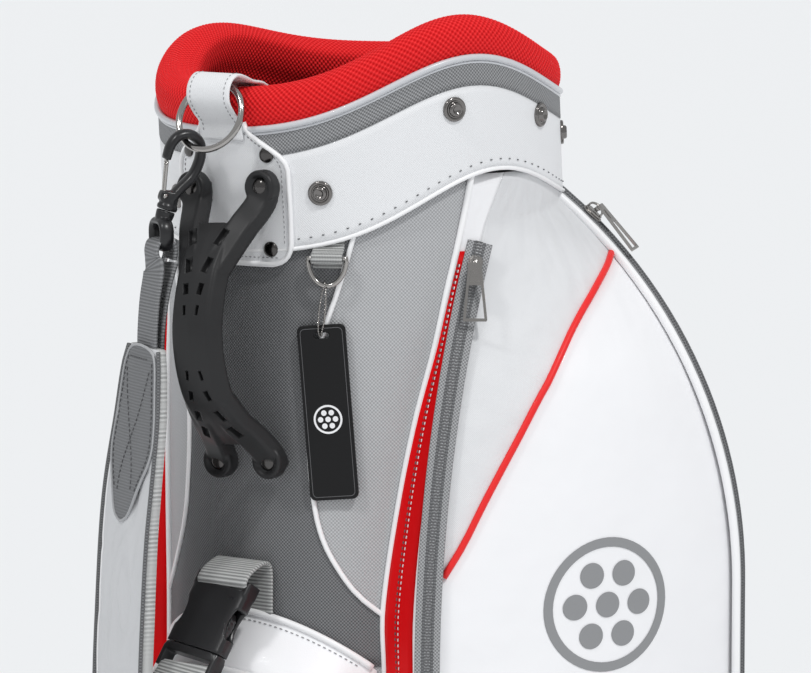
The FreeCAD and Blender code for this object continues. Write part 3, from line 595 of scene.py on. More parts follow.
look = {
    "white": leatherette("white_leatherette", WHITE, rough=0.45, crease=2.0),
    "collar": leatherette("collar_leatherette", COLLAR_WHITE, pitch=1.5, depth=0.08, rough=0.5),
    "panel": leatherette("panel_leatherette", PANEL_GREY, pitch=1.1, depth=0.08, rough=0.5, crease=3.4),
    "edge": leatherette("edge_leatherette", colour(246, 246, 247), rough=0.35, depth=0.03),
    "side": woven("side_cloth", SIDE_GREY, 2.2, 0.25, 0.2, "plain"),
    "spine": woven("spine_cloth", SPINE_GREY, 2.1, 0.3, 0.38, "plain"),
    "tape": woven("collar_tape_cloth", colour(156, 157, 159), 2.2, 0.6, 0.36, "plain"),
    "zip_tape": woven("zip_tape_cloth", colour(166, 167, 169), 2.1, 0.45, 0.34, "plain"),
    "webbing": woven("webbing_cloth", colour(132, 133, 135), 1.9, 0.35, 0.2, "ribbed"),
    "light_webbing": woven("light_webbing_cloth", colour(178, 179, 178), 2.1, 0.45, 0.28, "ribbed"),
    "patch_edge": leatherette("patch_edge_finish", colour(172, 173, 175), rough=0.5),
    "pad_side": woven("pad_side_cloth", colour(196, 197, 196), 2.6, 0.4, 0.2, "plain"),
    "pad_piping": woven("pad_piping_cloth", colour(112, 113, 114), 1.6, 0.3, 0.3, "plain"),
    "dark_piping": woven("dark_piping_cloth", colour(112, 113, 115), 1.8, 0.3, 0.3, "plain"),
    "coil": woven("zip_coil", colour(112, 112, 114), 1.6, 0.2, 0.5, "plain", rough=0.5),
    "lining": woven("lining_cloth", colour(70, 71, 74), 1.4, 0.15, 0.15),
    "pad": leatherette("pad_cloth_finish", colour(214, 215, 217), pitch=1.1, depth=0.07, rough=0.62,
                       coat=0.0, crease=4.0),
    "patch": woven("patch_cloth_finish", colour(124, 125, 127), 1.8, 0.2, 0.1, "ribbed"),
    "red": leatherette("red_leatherette_finish", RED, rough=0.45, coat=0.0, specular=0.1),
    "red_piping": leatherette("red_piping_finish", PIPING_RED, rough=0.4, specular=0.25),
    "silver": leatherette("silver_piping_finish", colour(205, 207, 211), rough=0.28, coat=0.3),
    "black_rubber": moulded("black_rubber_finish", colour(38, 38, 39), rough=0.4, specular=0.3),
    "black_plastic": moulded("black_plastic_finish", colour(28, 28, 30), rough=0.3),
    "base_plastic": moulded("base_plastic_finish", colour(48, 48, 50), rough=0.5, grain=1.6, depth=0.08),
    "frame_plastic": moulded("frame_plastic_finish", colour(50, 50, 53), rough=0.45),
    "tag": leatherette("tag_leather_finish", colour(26, 26, 27), rough=0.45, depth=0.05, coat=0.0, specular=0.2),
    "chrome": metal("chrome_finish", colour(172, 169, 166), 0.12),
    "stud": metal("stud_finish", colour(128, 125, 123), 0.16),
    "gunmetal": metal("gunmetal_finish", colour(88, 86, 85), 0.18),
    "zip_metal": metal("zip_metal_finish", colour(160, 157, 154), 0.2),
    "aluminium": metal("stay_metal_finish", colour(190, 191, 194), 0.35),
    "thread_dark": moulded("dark_thread", colour(96, 96, 98), rough=0.8),
    "thread_grey": moulded("grey_thread", colour(150, 150, 152), rough=0.8),
    "thread_light": moulded("light_thread", colour(238, 238, 240), rough=0.8),
    "grey_print": leatherette("grey_print", colour(142, 143, 145), rough=0.5),
}


MESH_PITCH = 3.4


def mesh_cloth():
    """Open spacer mesh: rows of raised knots over holes, with painted light on the knots and painted shade in the
    holes.
    """
    finish = Shader("spacer_mesh", colour(228, 26, 32), 0.75, specular=0.12)
    rows, columns = (finish.wave(line, MESH_PITCH, math.pi / 2) for line in (finish.x, finish.y))
    knots = finish.math("MULTIPLY", rows, columns)
    height = finish.ramp(knots, -1, 1)
    # painted shade and light: darker red in the holes and brighter red on the knots, following the knots' height
    finish.paint(finish.mix(height, colour(198, 2, 10), colour(255, 56, 58)))
    return finish.bump(height, 0.7).material


look["mesh"] = mesh_cloth()


# ---------------------------------------------------------------- camera, lights and floor
VIEW_TURN = math.radians(38)
VIEW_DISTANCE, VIEW_HEIGHT, LOOK_HEIGHT, VIEW_ASIDE = 3300, 1085, 695, 25.3
LENS, SENSOR = 241.8, 36
SKY, SKY_STRENGTH = (0.97, 0.985, 1.0, 1), 0.55
FLOOR_HALF, FLOOR_PAINT = 60, (0.868, 0.878, 0.888, 1)


def camera_and_light():
    """The camera, the sky, two lamps and the floor."""
    scene = bpy.context.scene
    scene.view_settings.view_transform = "Standard"
    data = bpy.data.cameras.new("camera")
    data.lens = LENS
    data.sensor_width = SENSOR
    data.clip_end = 200
    camera = bpy.data.objects.new("camera", data)
    scene.collection.objects.link(camera)
    aside = Vector((math.cos(VIEW_TURN), math.sin(VIEW_TURN), 0)) * VIEW_ASIDE
    target = Vector((0, 0, LOOK_HEIGHT)) + aside
    spot = Vector((math.sin(VIEW_TURN) * VIEW_DISTANCE, -math.cos(VIEW_TURN) * VIEW_DISTANCE,
                   VIEW_HEIGHT)) + aside
    camera.location = spot * MM
    camera.rotation_euler = (target - spot).to_track_quat("-Z", "Y").to_euler()
    scene.camera = camera
    world = bpy.data.worlds.new("studio")
    world.use_nodes = True
    sky = world.node_tree.nodes["Background"].inputs
    sky["Color"].default_value = SKY
    sky["Strength"].default_value = SKY_STRENGTH
    scene.world = world
    for name, turn, rise, strength, soft in (("key", 34, 52, 1.25, 5), ("fill", -48, 50, 0.6, 8)):
        light = bpy.data.lights.new(name, "SUN")
        light.energy = strength
        light.angle = math.radians(soft)
        lamp = bpy.data.objects.new(name, light)
        scene.collection.objects.link(lamp)
        heading = VIEW_TURN + math.radians(turn)
        level = math.cos(math.radians(rise))
        toward = Vector((math.sin(heading) * level, -math.cos(heading) * level, math.sin(math.radians(rise))))
        lamp.rotation_euler = toward.to_track_quat("Z", "Y").to_euler()
    quarters = ((-1, -1), (1, -1), (1, 1), (-1, 1))
    corners = [Vector((x * FLOOR_HALF, y * FLOOR_HALF, 0)) / MM for x, y in quarters]
    floor = new_object("floor", corners, [(0, 1, 2, 3)], smooth=False)
    paint = bpy.data.materials.new("floor_paint")
    paint.use_nodes = True
    coat = paint.node_tree.nodes["Principled BSDF"].inputs
    coat["Base Color"].default_value = FLOOR_PAINT
    coat["Roughness"].default_value = 0.9
    coat["Specular IOR Level"].default_value = 0.1
    floor.data.materials.append(paint)


camera_and_light()


# ---------------------------------------------------------------- panels on the barrel
PANEL_FOOT = 58


def barrel_cloth(angle, z):
    """The place on the flat cloth of a point on the barrel."""
    return (math.radians(angle) * BARREL_R, z)


def barrel_panels():
    """The spine's dark panel over the lighter side panels, and the plain back."""
    levels = steps(PANEL_FOOT, 806, 12)

    def side_point(share, z):
        span = gusset_line(z) + 1.5
        return around(-span + 2 * span * share, BARREL_R, z)

    def side_cloth(share, z):
        span = gusset_line(z) + 1.5
        return barrel_cloth(-span + 2 * span * share, z)

    sides = grid("side_panels", steps(0, 1, 1 / 48), levels, side_point, side_cloth, thick=1)
    finish_piece(sides, look["side"])

    def spine_point(share, z):
        span = spine_right(z)
        return around(-span + 2 * span * share, BARREL_R + 0.7, z)

    def spine_cloth(share, z):
        span = spine_right(z)
        return barrel_cloth(-span + 2 * span * share, z)

    spine = grid("spine_panel", steps(0, 1, 1 / 30), steps(512, 780, 8), spine_point, spine_cloth, thick=0.6)
    finish_piece(spine, look["spine"])

    def back_point(angle, z):
        return around(angle, BARREL_R, z)

    back = grid("back_panel", steps(FAR_ROOT - 14, 374 - FAR_ROOT, 4), levels, back_point, barrel_cloth, thick=1)
    finish_piece(back, look["white"])
    for name, sign in SIDES:
        edge = [around(sign * spine_right(z), BARREL_R + 1.1, z) for z in steps(516, 780, 6)]
        tube(name + "_spine_piping", edge, 1.6, look["edge"])
        seam = [around(sign * (gusset_line(z) + 0.3), BARREL_R + 1.2, z) for z in steps(90, 806, 8)]
        tube(name + "_gusset_piping", seam, 2.0, look["edge"])


# ---------------------------------------------------------------- side pockets
SEAM_START = 0.03
PIPING_SEAM = curve_through([(SEAM_START, 570), (0.076, 588.6), (0.129, 614.3), (0.206, 645.6),
                             (0.296, 676.7), (0.44, 709.6), (0.624, 730.7), (0.87, 746.5), (1.0, 752)])


def front_cloth(share, z):
    """The place on the flat panel of a point on the pocket's front."""
    return (share * POCKET_WIDE, z)


def side_pockets():
    """The two large side pockets with their gussets and piping."""
    for side, sign in SIDES:
        def turned(point):
            return mirrored(point, sign)

        def lower_z(share, rise):
            return POCKET_LOW + (PIPING_SEAM(max(share, SEAM_START)) - POCKET_LOW) * rise

        def upper_z(share, rise):
            low = PIPING_SEAM(max(share, SEAM_START))
            return low + (POCKET_TOP - low) * rise

        def lower_point(share, rise):
            return turned(pocket_front(share, lower_z(share, rise)))

        def lower_cloth(share, rise):
            return front_cloth(share, lower_z(share, rise))

        def upper_point(share, rise):
            return turned(pocket_front(share, upper_z(share, rise)))

        def upper_cloth(share, rise):
            return front_cloth(share, upper_z(share, rise))

        flip = sign < 0
        across = steps(0, 1, 1 / 48)
        lower = grid(side + "_pocket_panel", across, steps(0, 1, 1 / 70), lower_point, lower_cloth, flip=flip)
        finish_piece(lower, look["white"], replaces=[side + "_pocket"])
        upper = grid(side + "_pocket_shoulder", across, steps(0, 1, 1 / 40), upper_point, upper_cloth, flip=flip)
        finish_piece(upper, look["panel"])
        near = grid(side + "_pocket_near_wall", steps(0, 1, 1 / 8), steps(POCKET_LOW, POCKET_TOP, 10),
                    lambda share, z: turned(pocket_near(share, z)), lambda share, z: (share * 45, z), flip=flip)
        finish_piece(near, look["white"])
        far = grid(side + "_pocket_far_wall", steps(0, 1, 1 / 12), steps(POCKET_LOW, 790, 10),
                   lambda share, z: turned(pocket_far(share, z)), lambda share, z: (share * 100, z), flip=flip)
        finish_piece(far, look["panel"])

        def gusset_point(share, z):
            return turned(pocket_near(0.04 + 0.62 * share, z) + around(30, 0.8))

        gusset = grid(side + "_gusset_panel", steps(0, 1, 1 / 6), steps(84, 758, 8), gusset_point,
                      lambda share, z: (share * 26, z), flip=flip, thick=0.8)
        finish_piece(gusset, look["red"], replaces=[side + "_gusset"])
        seam = [turned(pocket_front(share, PIPING_SEAM(share)) + around(80, 1.0))
                for share in steps(SEAM_START, 0.985, 0.02)]
        tube(side + "_shoulder_piping", seam, 2.1, look["red_piping"])
        foot_ring(side, sign)


def foot_ring(side, sign):
    """The pocket's bottom, from its outer edge in to the barrel."""
    outline = [pocket_near(share, POCKET_LOW) for share in steps(0, 1, 0.2)]
    outline += [pocket_front(share, POCKET_LOW) for share in steps(0.04, 1, 0.04)]
    outline += [pocket_far(share, POCKET_LOW) for share in steps(0.1, 1, 0.1)]
    vertices = []
    for point in outline:
        root = around(angle_of(point), BARREL_R - 0.5, POCKET_LOW)
        vertices += [mirrored(point, sign), mirrored(root, sign)]
    faces = [(2 * i, 2 * i + 1, 2 * i + 3, 2 * i + 2) for i in range(len(outline) - 1)]
    piece = new_object(side + "_pocket_bottom", vertices, faces if sign < 0 else [f[::-1] for f in faces],
                       [(v.x, v.y) for v in vertices])
    thicken(piece, 1.0)
    finish_piece(piece, look["panel"])


# ---------------------------------------------------------------- collar and cuff
def around_collar(radius, height):
    """A closed line round the collar: radius may be a number or a function of the angle, height is a function of
    the angle.
    """
    line = []
    for angle in range(-180, 180, 3):
        r = radius(angle) if callable(radius) else radius
        line.append(lean(around(angle, r, height(angle))))
    return line


def collar():
    """The collar's skin, its webbing band, its silver pipings and its stitches."""
    angles = steps(-180, 177, 3)

    def skin_point(angle, rise):
        low, high = hem(angle), saddle(angle, TAPE_LOW)
        return lean(around(angle, COLLAR_R, low + (high - low) * rise))

    def skin_cloth(angle, rise):
        low, high = hem(angle), saddle(angle, TAPE_LOW)
        return (math.radians(angle) * COLLAR_R, low + (high - low) * rise)

    skin = grid("collar_skin", angles, steps(0, 1, 1 / 10), skin_point, skin_cloth, closed=True, thick=0.9)
    finish_piece(skin, look["collar"], replaces=["collar_band"])

    def tape_point(angle, rise):
        return lean(around(angle, COLLAR_R + 0.3, saddle(angle, TAPE_LOW - 0.6 + 15.4 * rise)))

    tape = grid("collar_tape_band", angles, steps(0, 1, 1 / 4), tape_point,
                lambda angle, rise: (math.radians(angle) * COLLAR_R, rise * 15), closed=True, thick=0.9)
    finish_piece(tape, look["tape"], replaces=["collar_tape"])
    tube("collar_hem_edge", around_collar(COLLAR_R + 0.1, hem), 1.3, look["edge"], closed=True)
    tube("silver_cuff_piping", around_collar(COLLAR_R + 0.5, lambda a: saddle(a, 837)), 2.0, look["silver"],
         closed=True, replaces=["cuff_piping"])
    tube("thin_cuff_piping", around_collar(COLLAR_R + 0.1, lambda a: saddle(a, 834.2)), 0.9, look["silver"],
         closed=True, sides=8)
    row = around_collar(COLLAR_R + 0.2, lambda a: hem(a) + 5.5)
    stitches("collar_stitches", row, [Vector((p.x, p.y, 0)) for p in row], look["thread_dark"], 7.6, 1.7, 0.36)


def cuff_profile(turn):
    """The cuff's rounded section: (radius, height above the cuff's low line) for turn 0 to 1."""
    points = ((COLLAR_R - 0.6, 0.2), (COLLAR_R + 0.9, 5), (COLLAR_R + 1.2, 11), (COLLAR_R - 0.3, 17),
              (COLLAR_R - 4, 21), (COLLAR_R - 10.5, 22.8), (COLLAR_R - 17, 21.2), (CUFF_INNER_R + 0.8, 16),
              (CUFF_INNER_R, 9), (CUFF_INNER_R + 2, 1), (CUFF_INNER_R + 7, -8), (CUFF_INNER_R + 11, -17))
    radius = curve_through([(i / (len(points) - 1), r) for i, (r, _) in enumerate(points)])
    height = curve_through([(i / (len(points) - 1), h) for i, (_, h) in enumerate(points)])
    return radius(turn), height(turn)


def padded_cuff():
    """The padded mesh roll over the collar's top, with its knots raised in the cloth."""
    rows = steps(0, 1, 1 / 96)
    profile = [cuff_profile(turn) for turn in rows]
    lengths = [0.0]
    for (r1, h1), (r2, h2) in zip(profile, profile[1:]):
        lengths.append(lengths[-1] + math.hypot(r2 - r1, h2 - h1))
    columns = 690
    vertices, places = [], []
    middle = (COLLAR_R + CUFF_INNER_R) / 2
    girth = 2 * math.pi * COLLAR_R
    knots_round = round(girth / MESH_PITCH)
    for (radius, height), length in zip(profile, lengths):
        for column in range(columns):
            angle = -180 + 360 * column / columns
            place = column / columns * knots_round * MESH_PITCH
            lift = math.cos(2 * math.pi * place / MESH_PITCH) * math.cos(2 * math.pi * length / MESH_PITCH)
            swell = 0.5 * noise.noise(Vector((math.sin(math.radians(angle)) * 3,
                                              math.cos(math.radians(angle)) * 3, length / 30)))
            spread = 1 if radius > middle else -1
            edge = ease(length, 0, 4)
            z = saddle(angle, CUFF_LOW) + height
            vertices.append(lean(around(angle, radius + spread * edge * (0.28 * lift + swell),
                                        z + edge * 0.2 * lift)))
            places.append((place, length))
    piece = new_object("mesh_cuff", vertices, quads(len(rows), columns), places)
    finish_piece(piece, look["mesh"], replaces=["top_cuff"])


def smooth_line(points, step=2.0):
    """A smooth line through a few points, in even short steps."""
    points = [Vector(point) for point in points]
    runs = [0.0]
    for first, second in zip(points, points[1:]):
        runs.append(runs[-1] + (second - first).length)
    axes = [curve_through(list(zip(runs, [point[axis] for point in points]))) for axis in range(3)]
    return [Vector([axis(place) for axis in axes]) for place in steps(0, runs[-1], step)]


def melted(name, parts, voxel, smooth_turns, cutters=()):
    """Parts merged into one moulded form, with slots cut out of it."""
    piece = joined(name, parts)
    remesh = piece.modifiers.new("moulding", "REMESH")
    remesh.mode = "VOXEL"
    remesh.voxel_size = voxel * MM
    soften = piece.modifiers.new("soften", "SMOOTH")
    soften.factor = 0.5
    soften.iterations = smooth_turns
    for cutter in cutters:
        cut = piece.modifiers.new("slot", "BOOLEAN")
        cut.operation = "DIFFERENCE"
        cut.object = cutter
        cut.solver = "EXACT"
    bpy.context.view_layer.objects.active = piece
    for modifier in list(piece.modifiers):
        bpy.ops.object.modifier_apply(modifier=modifier.name)
    for cutter in cutters:
        bpy.data.objects.remove(cutter)
    piece.data.shade_smooth()
    return piece


def rounded_bar(name, path, width, thick, normal=(0, -1, 0), power=3.0, sides=20):
    """A bar with a soft rectangular section."""
    section = []
    for index in range(sides):
        turn = 2 * math.pi * index / sides
        c, d = math.cos(turn), math.sin(turn)
        section.append((width / 2 * math.copysign(abs(c) ** (2 / power), c),
                        thick / 2 * math.copysign(abs(d) ** (2 / power), d)))
    return sweep(name, path, section, normal=lambda index: Vector(normal))


def moved(piece, matrix):
    """Move a mesh by a matrix given in millimetres."""
    spot = matrix.copy()
    spot.translation *= MM
    piece.data.transform(spot)
    return piece


HANDLE_TILT_ABOUT = Matrix.Translation(Vector((2, 0, 715)))
HANDLE_TURN = (Matrix.Rotation(math.radians(3.4), 4, "Z") @ HANDLE_TILT_ABOUT
               @ Matrix.Rotation(math.radians(-3.5), 4, "Y") @ HANDLE_TILT_ABOUT.inverted())
HANDLE_MIDDLE = 712
HANDLE_TOP = Vector((25, -133.2, 796))
HANDLE_FOOT = Vector((18, -130.6, 634))
RIVET = [(0.01, -1.5), (5.6, -1.5), (5.6, 0.6), (5.3, 1.3), (4.4, 2.2), (3.0, 2.9), (1.4, 3.3), (0.01, 3.4)]
FLAT_RIVET = [(0.01, -1.5), (4.6, -1.5), (4.6, 0.4), (4.2, 0.9), (3.0, 1.4), (1.4, 1.6), (0.01, 1.7)]
SOCKET = [(6.3, -3), (10.4, -3), (10.4, 2.2), (9.9, 3.4), (8.8, 3.8), (7.6, 3.5), (6.6, 2.4), (6.3, 1)]
LEG = [(-9, -4.8), (9, -4.8), (9.6, -2), (7.4, 3.8), (6.2, 4.8), (-6.2, 4.8), (-7.4, 3.8), (-9.6, -2)]
GRIP = [(-16.6, -5), (16.6, -5), (17.4, -2.6), (13.6, 4.2), (12.2, 5.4), (0, 6.0), (-12.2, 5.4), (-13.6, 4.2),
        (-17.4, -2.6)]


def handle():
    """The moulded grip: one broad bar that parts into forked legs with riveted sockets."""
    parts, cutters = [], []
    core = smooth_line([(0, -145, 774), (0, -150.5, 767), (0, -164.5, 743), (0, -172, HANDLE_MIDDLE),
                        (0, -166.5, 680), (0, -150.5, 659), (0, -138, 648)])
    last = len(core) - 1

    def core_size(index):
        share = index / last
        end = max(1 - share / 0.2, (share - 0.82) / 0.18, 0)
        return 1 + 0.1 * end, 1 - 0.2 * end

    parts.append(sweep("core", core, GRIP, normal=lambda index: Vector((0, -1, 0)), sized=core_size))
    for sign in (1, -1):
        def out(points):
            return [mirrored(Vector(point), sign) for point in points]

        for leg in ([(25, -130.5, 799), (23.5, -133, 788), (18, -145, 774), (11, -156, 758), (8, -161, 750)],
                    [(8, -162, 673), (10.5, -151, 659), (14.5, -138, 647), (18, -128.5, 635),
                     (18.5, -127.5, 630)]):
            parts.append(sweep("leg", smooth_line(out(leg)), LEG, normal=lambda index: Vector((0, -1, 0))))
        for spot in (HANDLE_TOP, HANDLE_FOOT):
            place = place_at(out([spot])[0], (0, -1, 0))
            parts.append(lathe("socket", SOCKET, place, 36, ring=True))
            parts.append(lathe("socket_floor", [(0.01, -5), (10.4, -5), (10.4, 0.4), (0.01, 0.4)], place))
        for x, z, length, width in ((10.4, 766, 11, 5.4), (6.6, 751, 10, 5), (5.2, 738, 7, 4), (4.6, 727, 6, 2.4),
                                    (5, 690, 6, 2.2), (6, 679, 7, 3.4), (8, 668, 9, 4.2), (10.6, 657, 10, 4.8)):
            index = min(range(last), key=lambda i: abs(core[i].z - z))
            ahead = (core[index + 1] - core[index]).normalized()
            aside = -sign * 0.35 * (1 if z > HANDLE_MIDDLE else -1) * abs(z - HANDLE_MIDDLE) / 50
            heading = (ahead + Vector((aside, 0, 0))).normalized()
            outward = Vector((0, -1, 0)) - ahead * Vector((0, -1, 0)).dot(ahead)
            middle = core[index] + Vector((sign * x, 0, 0)) + outward.normalized() * 4.5
            path = [middle - heading * length / 2, middle, middle + heading * length / 2]
            cutters.append(rounded_bar("slot", path, width, 7, normal=tuple(outward), power=4, sides=16))
    slots = joined("handle_slots", cutters)
    grip = moved(melted("handle_grip_moulded", parts, 0.9, 2, [slots]), HANDLE_TURN)
    finish_piece(grip, look["black_rubber"], replaces=["handle_grip"])
    rivets = []
    for spot in (HANDLE_TOP, HANDLE_FOOT):
        for sign in (1, -1):
            place = place_at(Vector((sign * spot.x, spot.y - 0.6, spot.z)), (0, -1, 0))
            rivets.append(lathe("rivet", RIVET, HANDLE_TURN @ place))
    finish_piece(joined("handle_rivet_heads", rivets), look["gunmetal"],
                 replaces=["handle_rivets"])


PATCH_R = 122.6
patch_right = curve_through([(759, 26), (760, 30.3), (762.5, 34.4), (766, 36.8), (771, 38), (812, 38),
                             (817, 37.4), (822, 34.6), (828, 26.5), (833, 18.5), (838, 12.6), (843, 10.6)])
patch_left = curve_through([(759, -34), (760, -38.3), (762.5, -42.4), (766, -44.8), (771, -46), (812, -46),
                            (817, -45.4), (822, -43), (828, -36.5), (833, -29.5), (838, -24.6), (843, -22.6)])
TAB_LINE = [(-122.9, 832), (-123.6, 842), (-129.4, 849.4), (-133.6, 856.4), (-133.2, 863.6), (-129.6, 869),
            (-124.4, 871), (-118.2, 869.4), (-110.2, 865.8), (-100.5, 863.2), (-93.6, 857), (-92.6, 840)]
TAB_LEFT, TAB_RIGHT = -22.5, 10.5


def on_patch(x, z, lift=0.0):
    """A point on the handle patch, x across and z up before the collar's tilt."""
    angle = math.degrees(math.asin(x / PATCH_R))
    return lean(around(angle, PATCH_R + lift, z))


def handle_patch():
    """The stitched patch with its rolled edge, and the tab over the ring and the cuff."""
    levels = [759, 759.5, 760.5, 762, 764, 767, 771] + steps(775, 843, 4)

    def point(share, z):
        x = patch_left(z) + (patch_right(z) - patch_left(z)) * share
        return on_patch(x, z)

    plate = grid("handle_patch_plate", steps(0, 1, 1 / 24), levels, point,
                 lambda share, z: (patch_left(z) + (patch_right(z) - patch_left(z)) * share, z), thick=1.3)
    finish_piece(plate, look["collar"], replaces=["handle_patch"])
    right = [on_patch(patch_right(z), z, 0.2) for z in levels]
    left = [on_patch(patch_left(z), z, 0.2) for z in levels]
    foot = [on_patch(x, 759, 0.2) for x in steps(-32, 24, 4)]
    edge = right[::-1] + foot[::-1] + left
    tube("patch_rolled_edge", edge, 1.6, look["edge"])
    inset = 4.0
    rows = {"right": [(patch_right(z) - inset, z) for z in levels if z > 768],
            "left": [(patch_left(z) + inset, z) for z in levels if z > 768],
            "foot": [(x, 759 + inset) for x in steps(-38, 30, 4)]}
    for name, row in rows.items():
        line = [on_patch(x, z, 0.1) for x, z in row]
        stitches(f"patch_{name}_stitches", line, [on_patch(x, z, 5) - on_patch(x, z, 0) for x, z in row],
                 look["thread_grey"], 3.0, 1.7, 0.28)
    line = [lean(Vector((0, y, z))) for y, z in TAB_LINE]
    path = [Vector(((TAB_LEFT + TAB_RIGHT) / 2, p.y, p.z)) for p in smooth_line(line, 1.5)]
    side = Vector((1, 0, 0))
    normals = web_normals(path, lambda index: side)
    width = TAB_RIGHT - TAB_LEFT
    tab = sweep("ring_tab", path, flat_section(width, 2.0, 12), normal=lambda index: normals[index])
    finish_piece(tab, look["collar"])
    for name, aside in (("right", width / 2 - 3.6), ("left", -width / 2 + 3.6)):
        row = [point + side * aside + normal * 1.0 for point, normal in zip(path, normals)][3:-14]
        stitches(f"tab_{name}_stitches", row, normals[3:-14], look["thread_grey"], 3.0, 1.7, 0.28)
    rivets = []
    for x, z in ((25, 824), (25, 768), (-37, 824), (-37, 768)):
        spot = on_patch(x, z, 0.2)
        rivets.append(lathe("rivet", FLAT_RIVET, place_at(spot, spot - lean(Vector((0, 0, z))))))
    finish_piece(joined("patch_rivet_heads", rivets), look["gunmetal"],
                 replaces=["patch_rivets"])


SNAP = [(0.01, -1), (7.3, -1), (7.3, 0.9), (6.9, 1.5), (6.0, 1.7), (5.2, 1.2), (4.6, 0.9), (4.2, 1.5), (4.0, 2.9),
        (3.2, 3.6), (2.4, 3.4), (1.9, 2.6), (1.2, 2.4), (0.01, 2.4)]


def snaps():
    """The hood's snap studs round the collar."""
    studs = []
    for angle, below_tape in ((26.9, 28.1), (66, 12.8), (101, 6.5), (127, 9)):
        for sign in (1, -1):
            z = saddle(sign * angle, TAPE_LOW) - below_tape
            spot = lean(around(sign * angle, COLLAR_R + 0.1, z))
            studs.append(lathe("stud", SNAP,
                               place_at(spot, LEAN @ around(sign * angle, 1), LEAN @ Vector((0, 0, 1)))))
    finish_piece(joined("hood_snap_studs", studs), look["stud"], replaces=["hood_snaps"])


# ---------------------------------------------------------------- small hard pieces
MIRROR = Matrix.Diagonal((-1, 1, 1, 1))
TURN_UP = Matrix.Rotation(math.radians(-90), 4, "X")


def facing(angle, point):
    """A frame at a point whose -Y looks outward at an angle round the barrel."""
    return Matrix.Translation(Vector(point)) @ Matrix.Rotation(math.radians(angle), 4, "Z")


def frame_along(origin, axis, right):
    """A frame with Z along an axis and X as near to right as it can be."""
    up = Vector(axis).normalized()
    side = (Vector(right) - up * up.dot(Vector(right))).normalized()
    turn = Matrix((side, up.cross(side), up)).transposed().to_4x4()
    return Matrix.Translation(Vector(origin)) @ turn


def fixed_normals(piece):
    """All faces looking outwards."""
    work = bmesh.new()
    work.from_mesh(piece.data)
    bmesh.ops.recalc_face_normals(work, faces=work.faces)
    work.to_mesh(piece.data)
    work.free()
    return piece


def reach(outline, middle, turn):
    """Distance from a middle point to a convex outline in one direction."""
    ahead = Vector((math.cos(turn), math.sin(turn)))
    best = 0
    for first, second in zip(outline, outline[1:] + outline[:1]):
        edge, start = Vector(second) - Vector(first), Vector(first) - middle
        cross = ahead.x * edge.y - ahead.y * edge.x
        if abs(cross) > 1e-9:
            along = (start.x * edge.y - start.y * edge.x) / cross
            share = (start.x * ahead.y - start.y * ahead.x) / cross
            if along > 0 and -1e-6 <= share <= 1 + 1e-6:
                best = max(best, along)
    return best


def slab(name, outline, near, far, window=None, edge=0.4):
    """A plate cut to a convex outline of (x, z) points between two depths, with an opening if given."""
    if window:
        middle = sum((Vector(point) for point in window), Vector((0, 0))) / len(window)
        turns = sorted({round(math.atan2(*(Vector(p) - middle).yx), 5) for p in list(outline) + list(window)})
        rings = [[middle + Vector((math.cos(t), math.sin(t))) * reach(line, middle, t) for t in turns]
                 for line in (outline, window)]
        count = len(turns)
        vertices = [Vector((p.x, depth, p.y)) for depth in (near, far) for ring in rings for p in ring]
        faces = []
        for i in range(count):
            j = (i + 1) % count
            faces.append((i, j, count + j, count + i))
            faces.append((2 * count + i, 3 * count + i, 3 * count + j, 2 * count + j))
            faces.append((i, 2 * count + i, 2 * count + j, j))
            faces.append((count + i, count + j, 3 * count + j, 3 * count + i))
    else:
        count = len(outline)
        vertices = [Vector((x, depth, z)) for depth in (near, far) for x, z in outline]
        faces = [tuple(range(count)), tuple(range(2 * count - 1, count - 1, -1))]
        faces += [(i, count + i, count + (i + 1) % count, (i + 1) % count) for i in range(count)]
    piece = fixed_normals(new_object(name, vertices, faces, [(v.x, v.z) for v in vertices], smooth=False))
    if edge:
        round_off(piece, edge)
    return piece


def rounded_outline(left, right, low, high, radius, parts=5):
    """A rectangle with round corners, as (x, z) points."""
    points = []
    for cx, cz, start in ((right - radius, low + radius, -90), (right - radius, high - radius, 0),
                          (left + radius, high - radius, 90), (left + radius, low + radius, 180)):
        for index in range(parts + 1):
            turn = math.radians(start + 90 * index / parts)
            points.append((cx + radius * math.cos(turn), cz + radius * math.sin(turn)))
    return points


def set_down(piece, place, material, body, replaces=()):
    """Put a piece modelled at the origin in its place, and finish it."""
    moved(piece, place)
    if place.determinant() < 0:
        piece.data.flip_normals()
    return finish_piece(piece, material, body, replaces)


# ---------------------------------------------------------------- zips
ZIP_LIFT, ZIP_WIDE, ZIP_THICK = 2.2, 15, 1.6
ZIP_TOP = -ZIP_LIFT - ZIP_THICK - 0.4


def zip_place(edge, z, outward):
    """A frame on a zip line: Z up along it and -Y straight out of the cloth."""
    ahead = (edge(z + 1) - edge(z - 1)).normalized()
    return frame_along(edge(z), ahead, ahead.cross(Vector(outward)))


def zip_slider(name, place, body):
    """A cast slider: a waisted shell, its two lips and the bridge that holds the pull."""
    shell = [(0, -7.0), (2.7, -6.6), (3.5, -4), (4.4, 1), (4.3, 4), (2.6, 6.4), (0, 6.8), (-2.6, 6.4), (-4.3, 4),
             (-4.4, 1), (-3.5, -4), (-2.7, -6.6)]
    parts = [slab("shell", shell, ZIP_TOP - 1.2, ZIP_TOP, edge=0.4),
             slab("cap", [(x * 0.82, z * 0.86) for x, z in shell], ZIP_TOP - 2.8, ZIP_TOP - 1.0, edge=0.6)]
    bridge = smooth_line([(0, ZIP_TOP - 2.2, 5.2), (0, ZIP_TOP - 5.2, 4.6), (0, ZIP_TOP - 6.8, 1.8),
                          (0, ZIP_TOP - 6.9, -1.4), (0, ZIP_TOP - 5.4, -4.2), (0, ZIP_TOP - 2.2, -4.8)], 0.8)
    parts.append(rounded_bar("bridge", bridge, 2.8, 1.3, sides=12))
    set_down(joined(name + "_cast", parts), place, look["zip_metal"], body, [name])


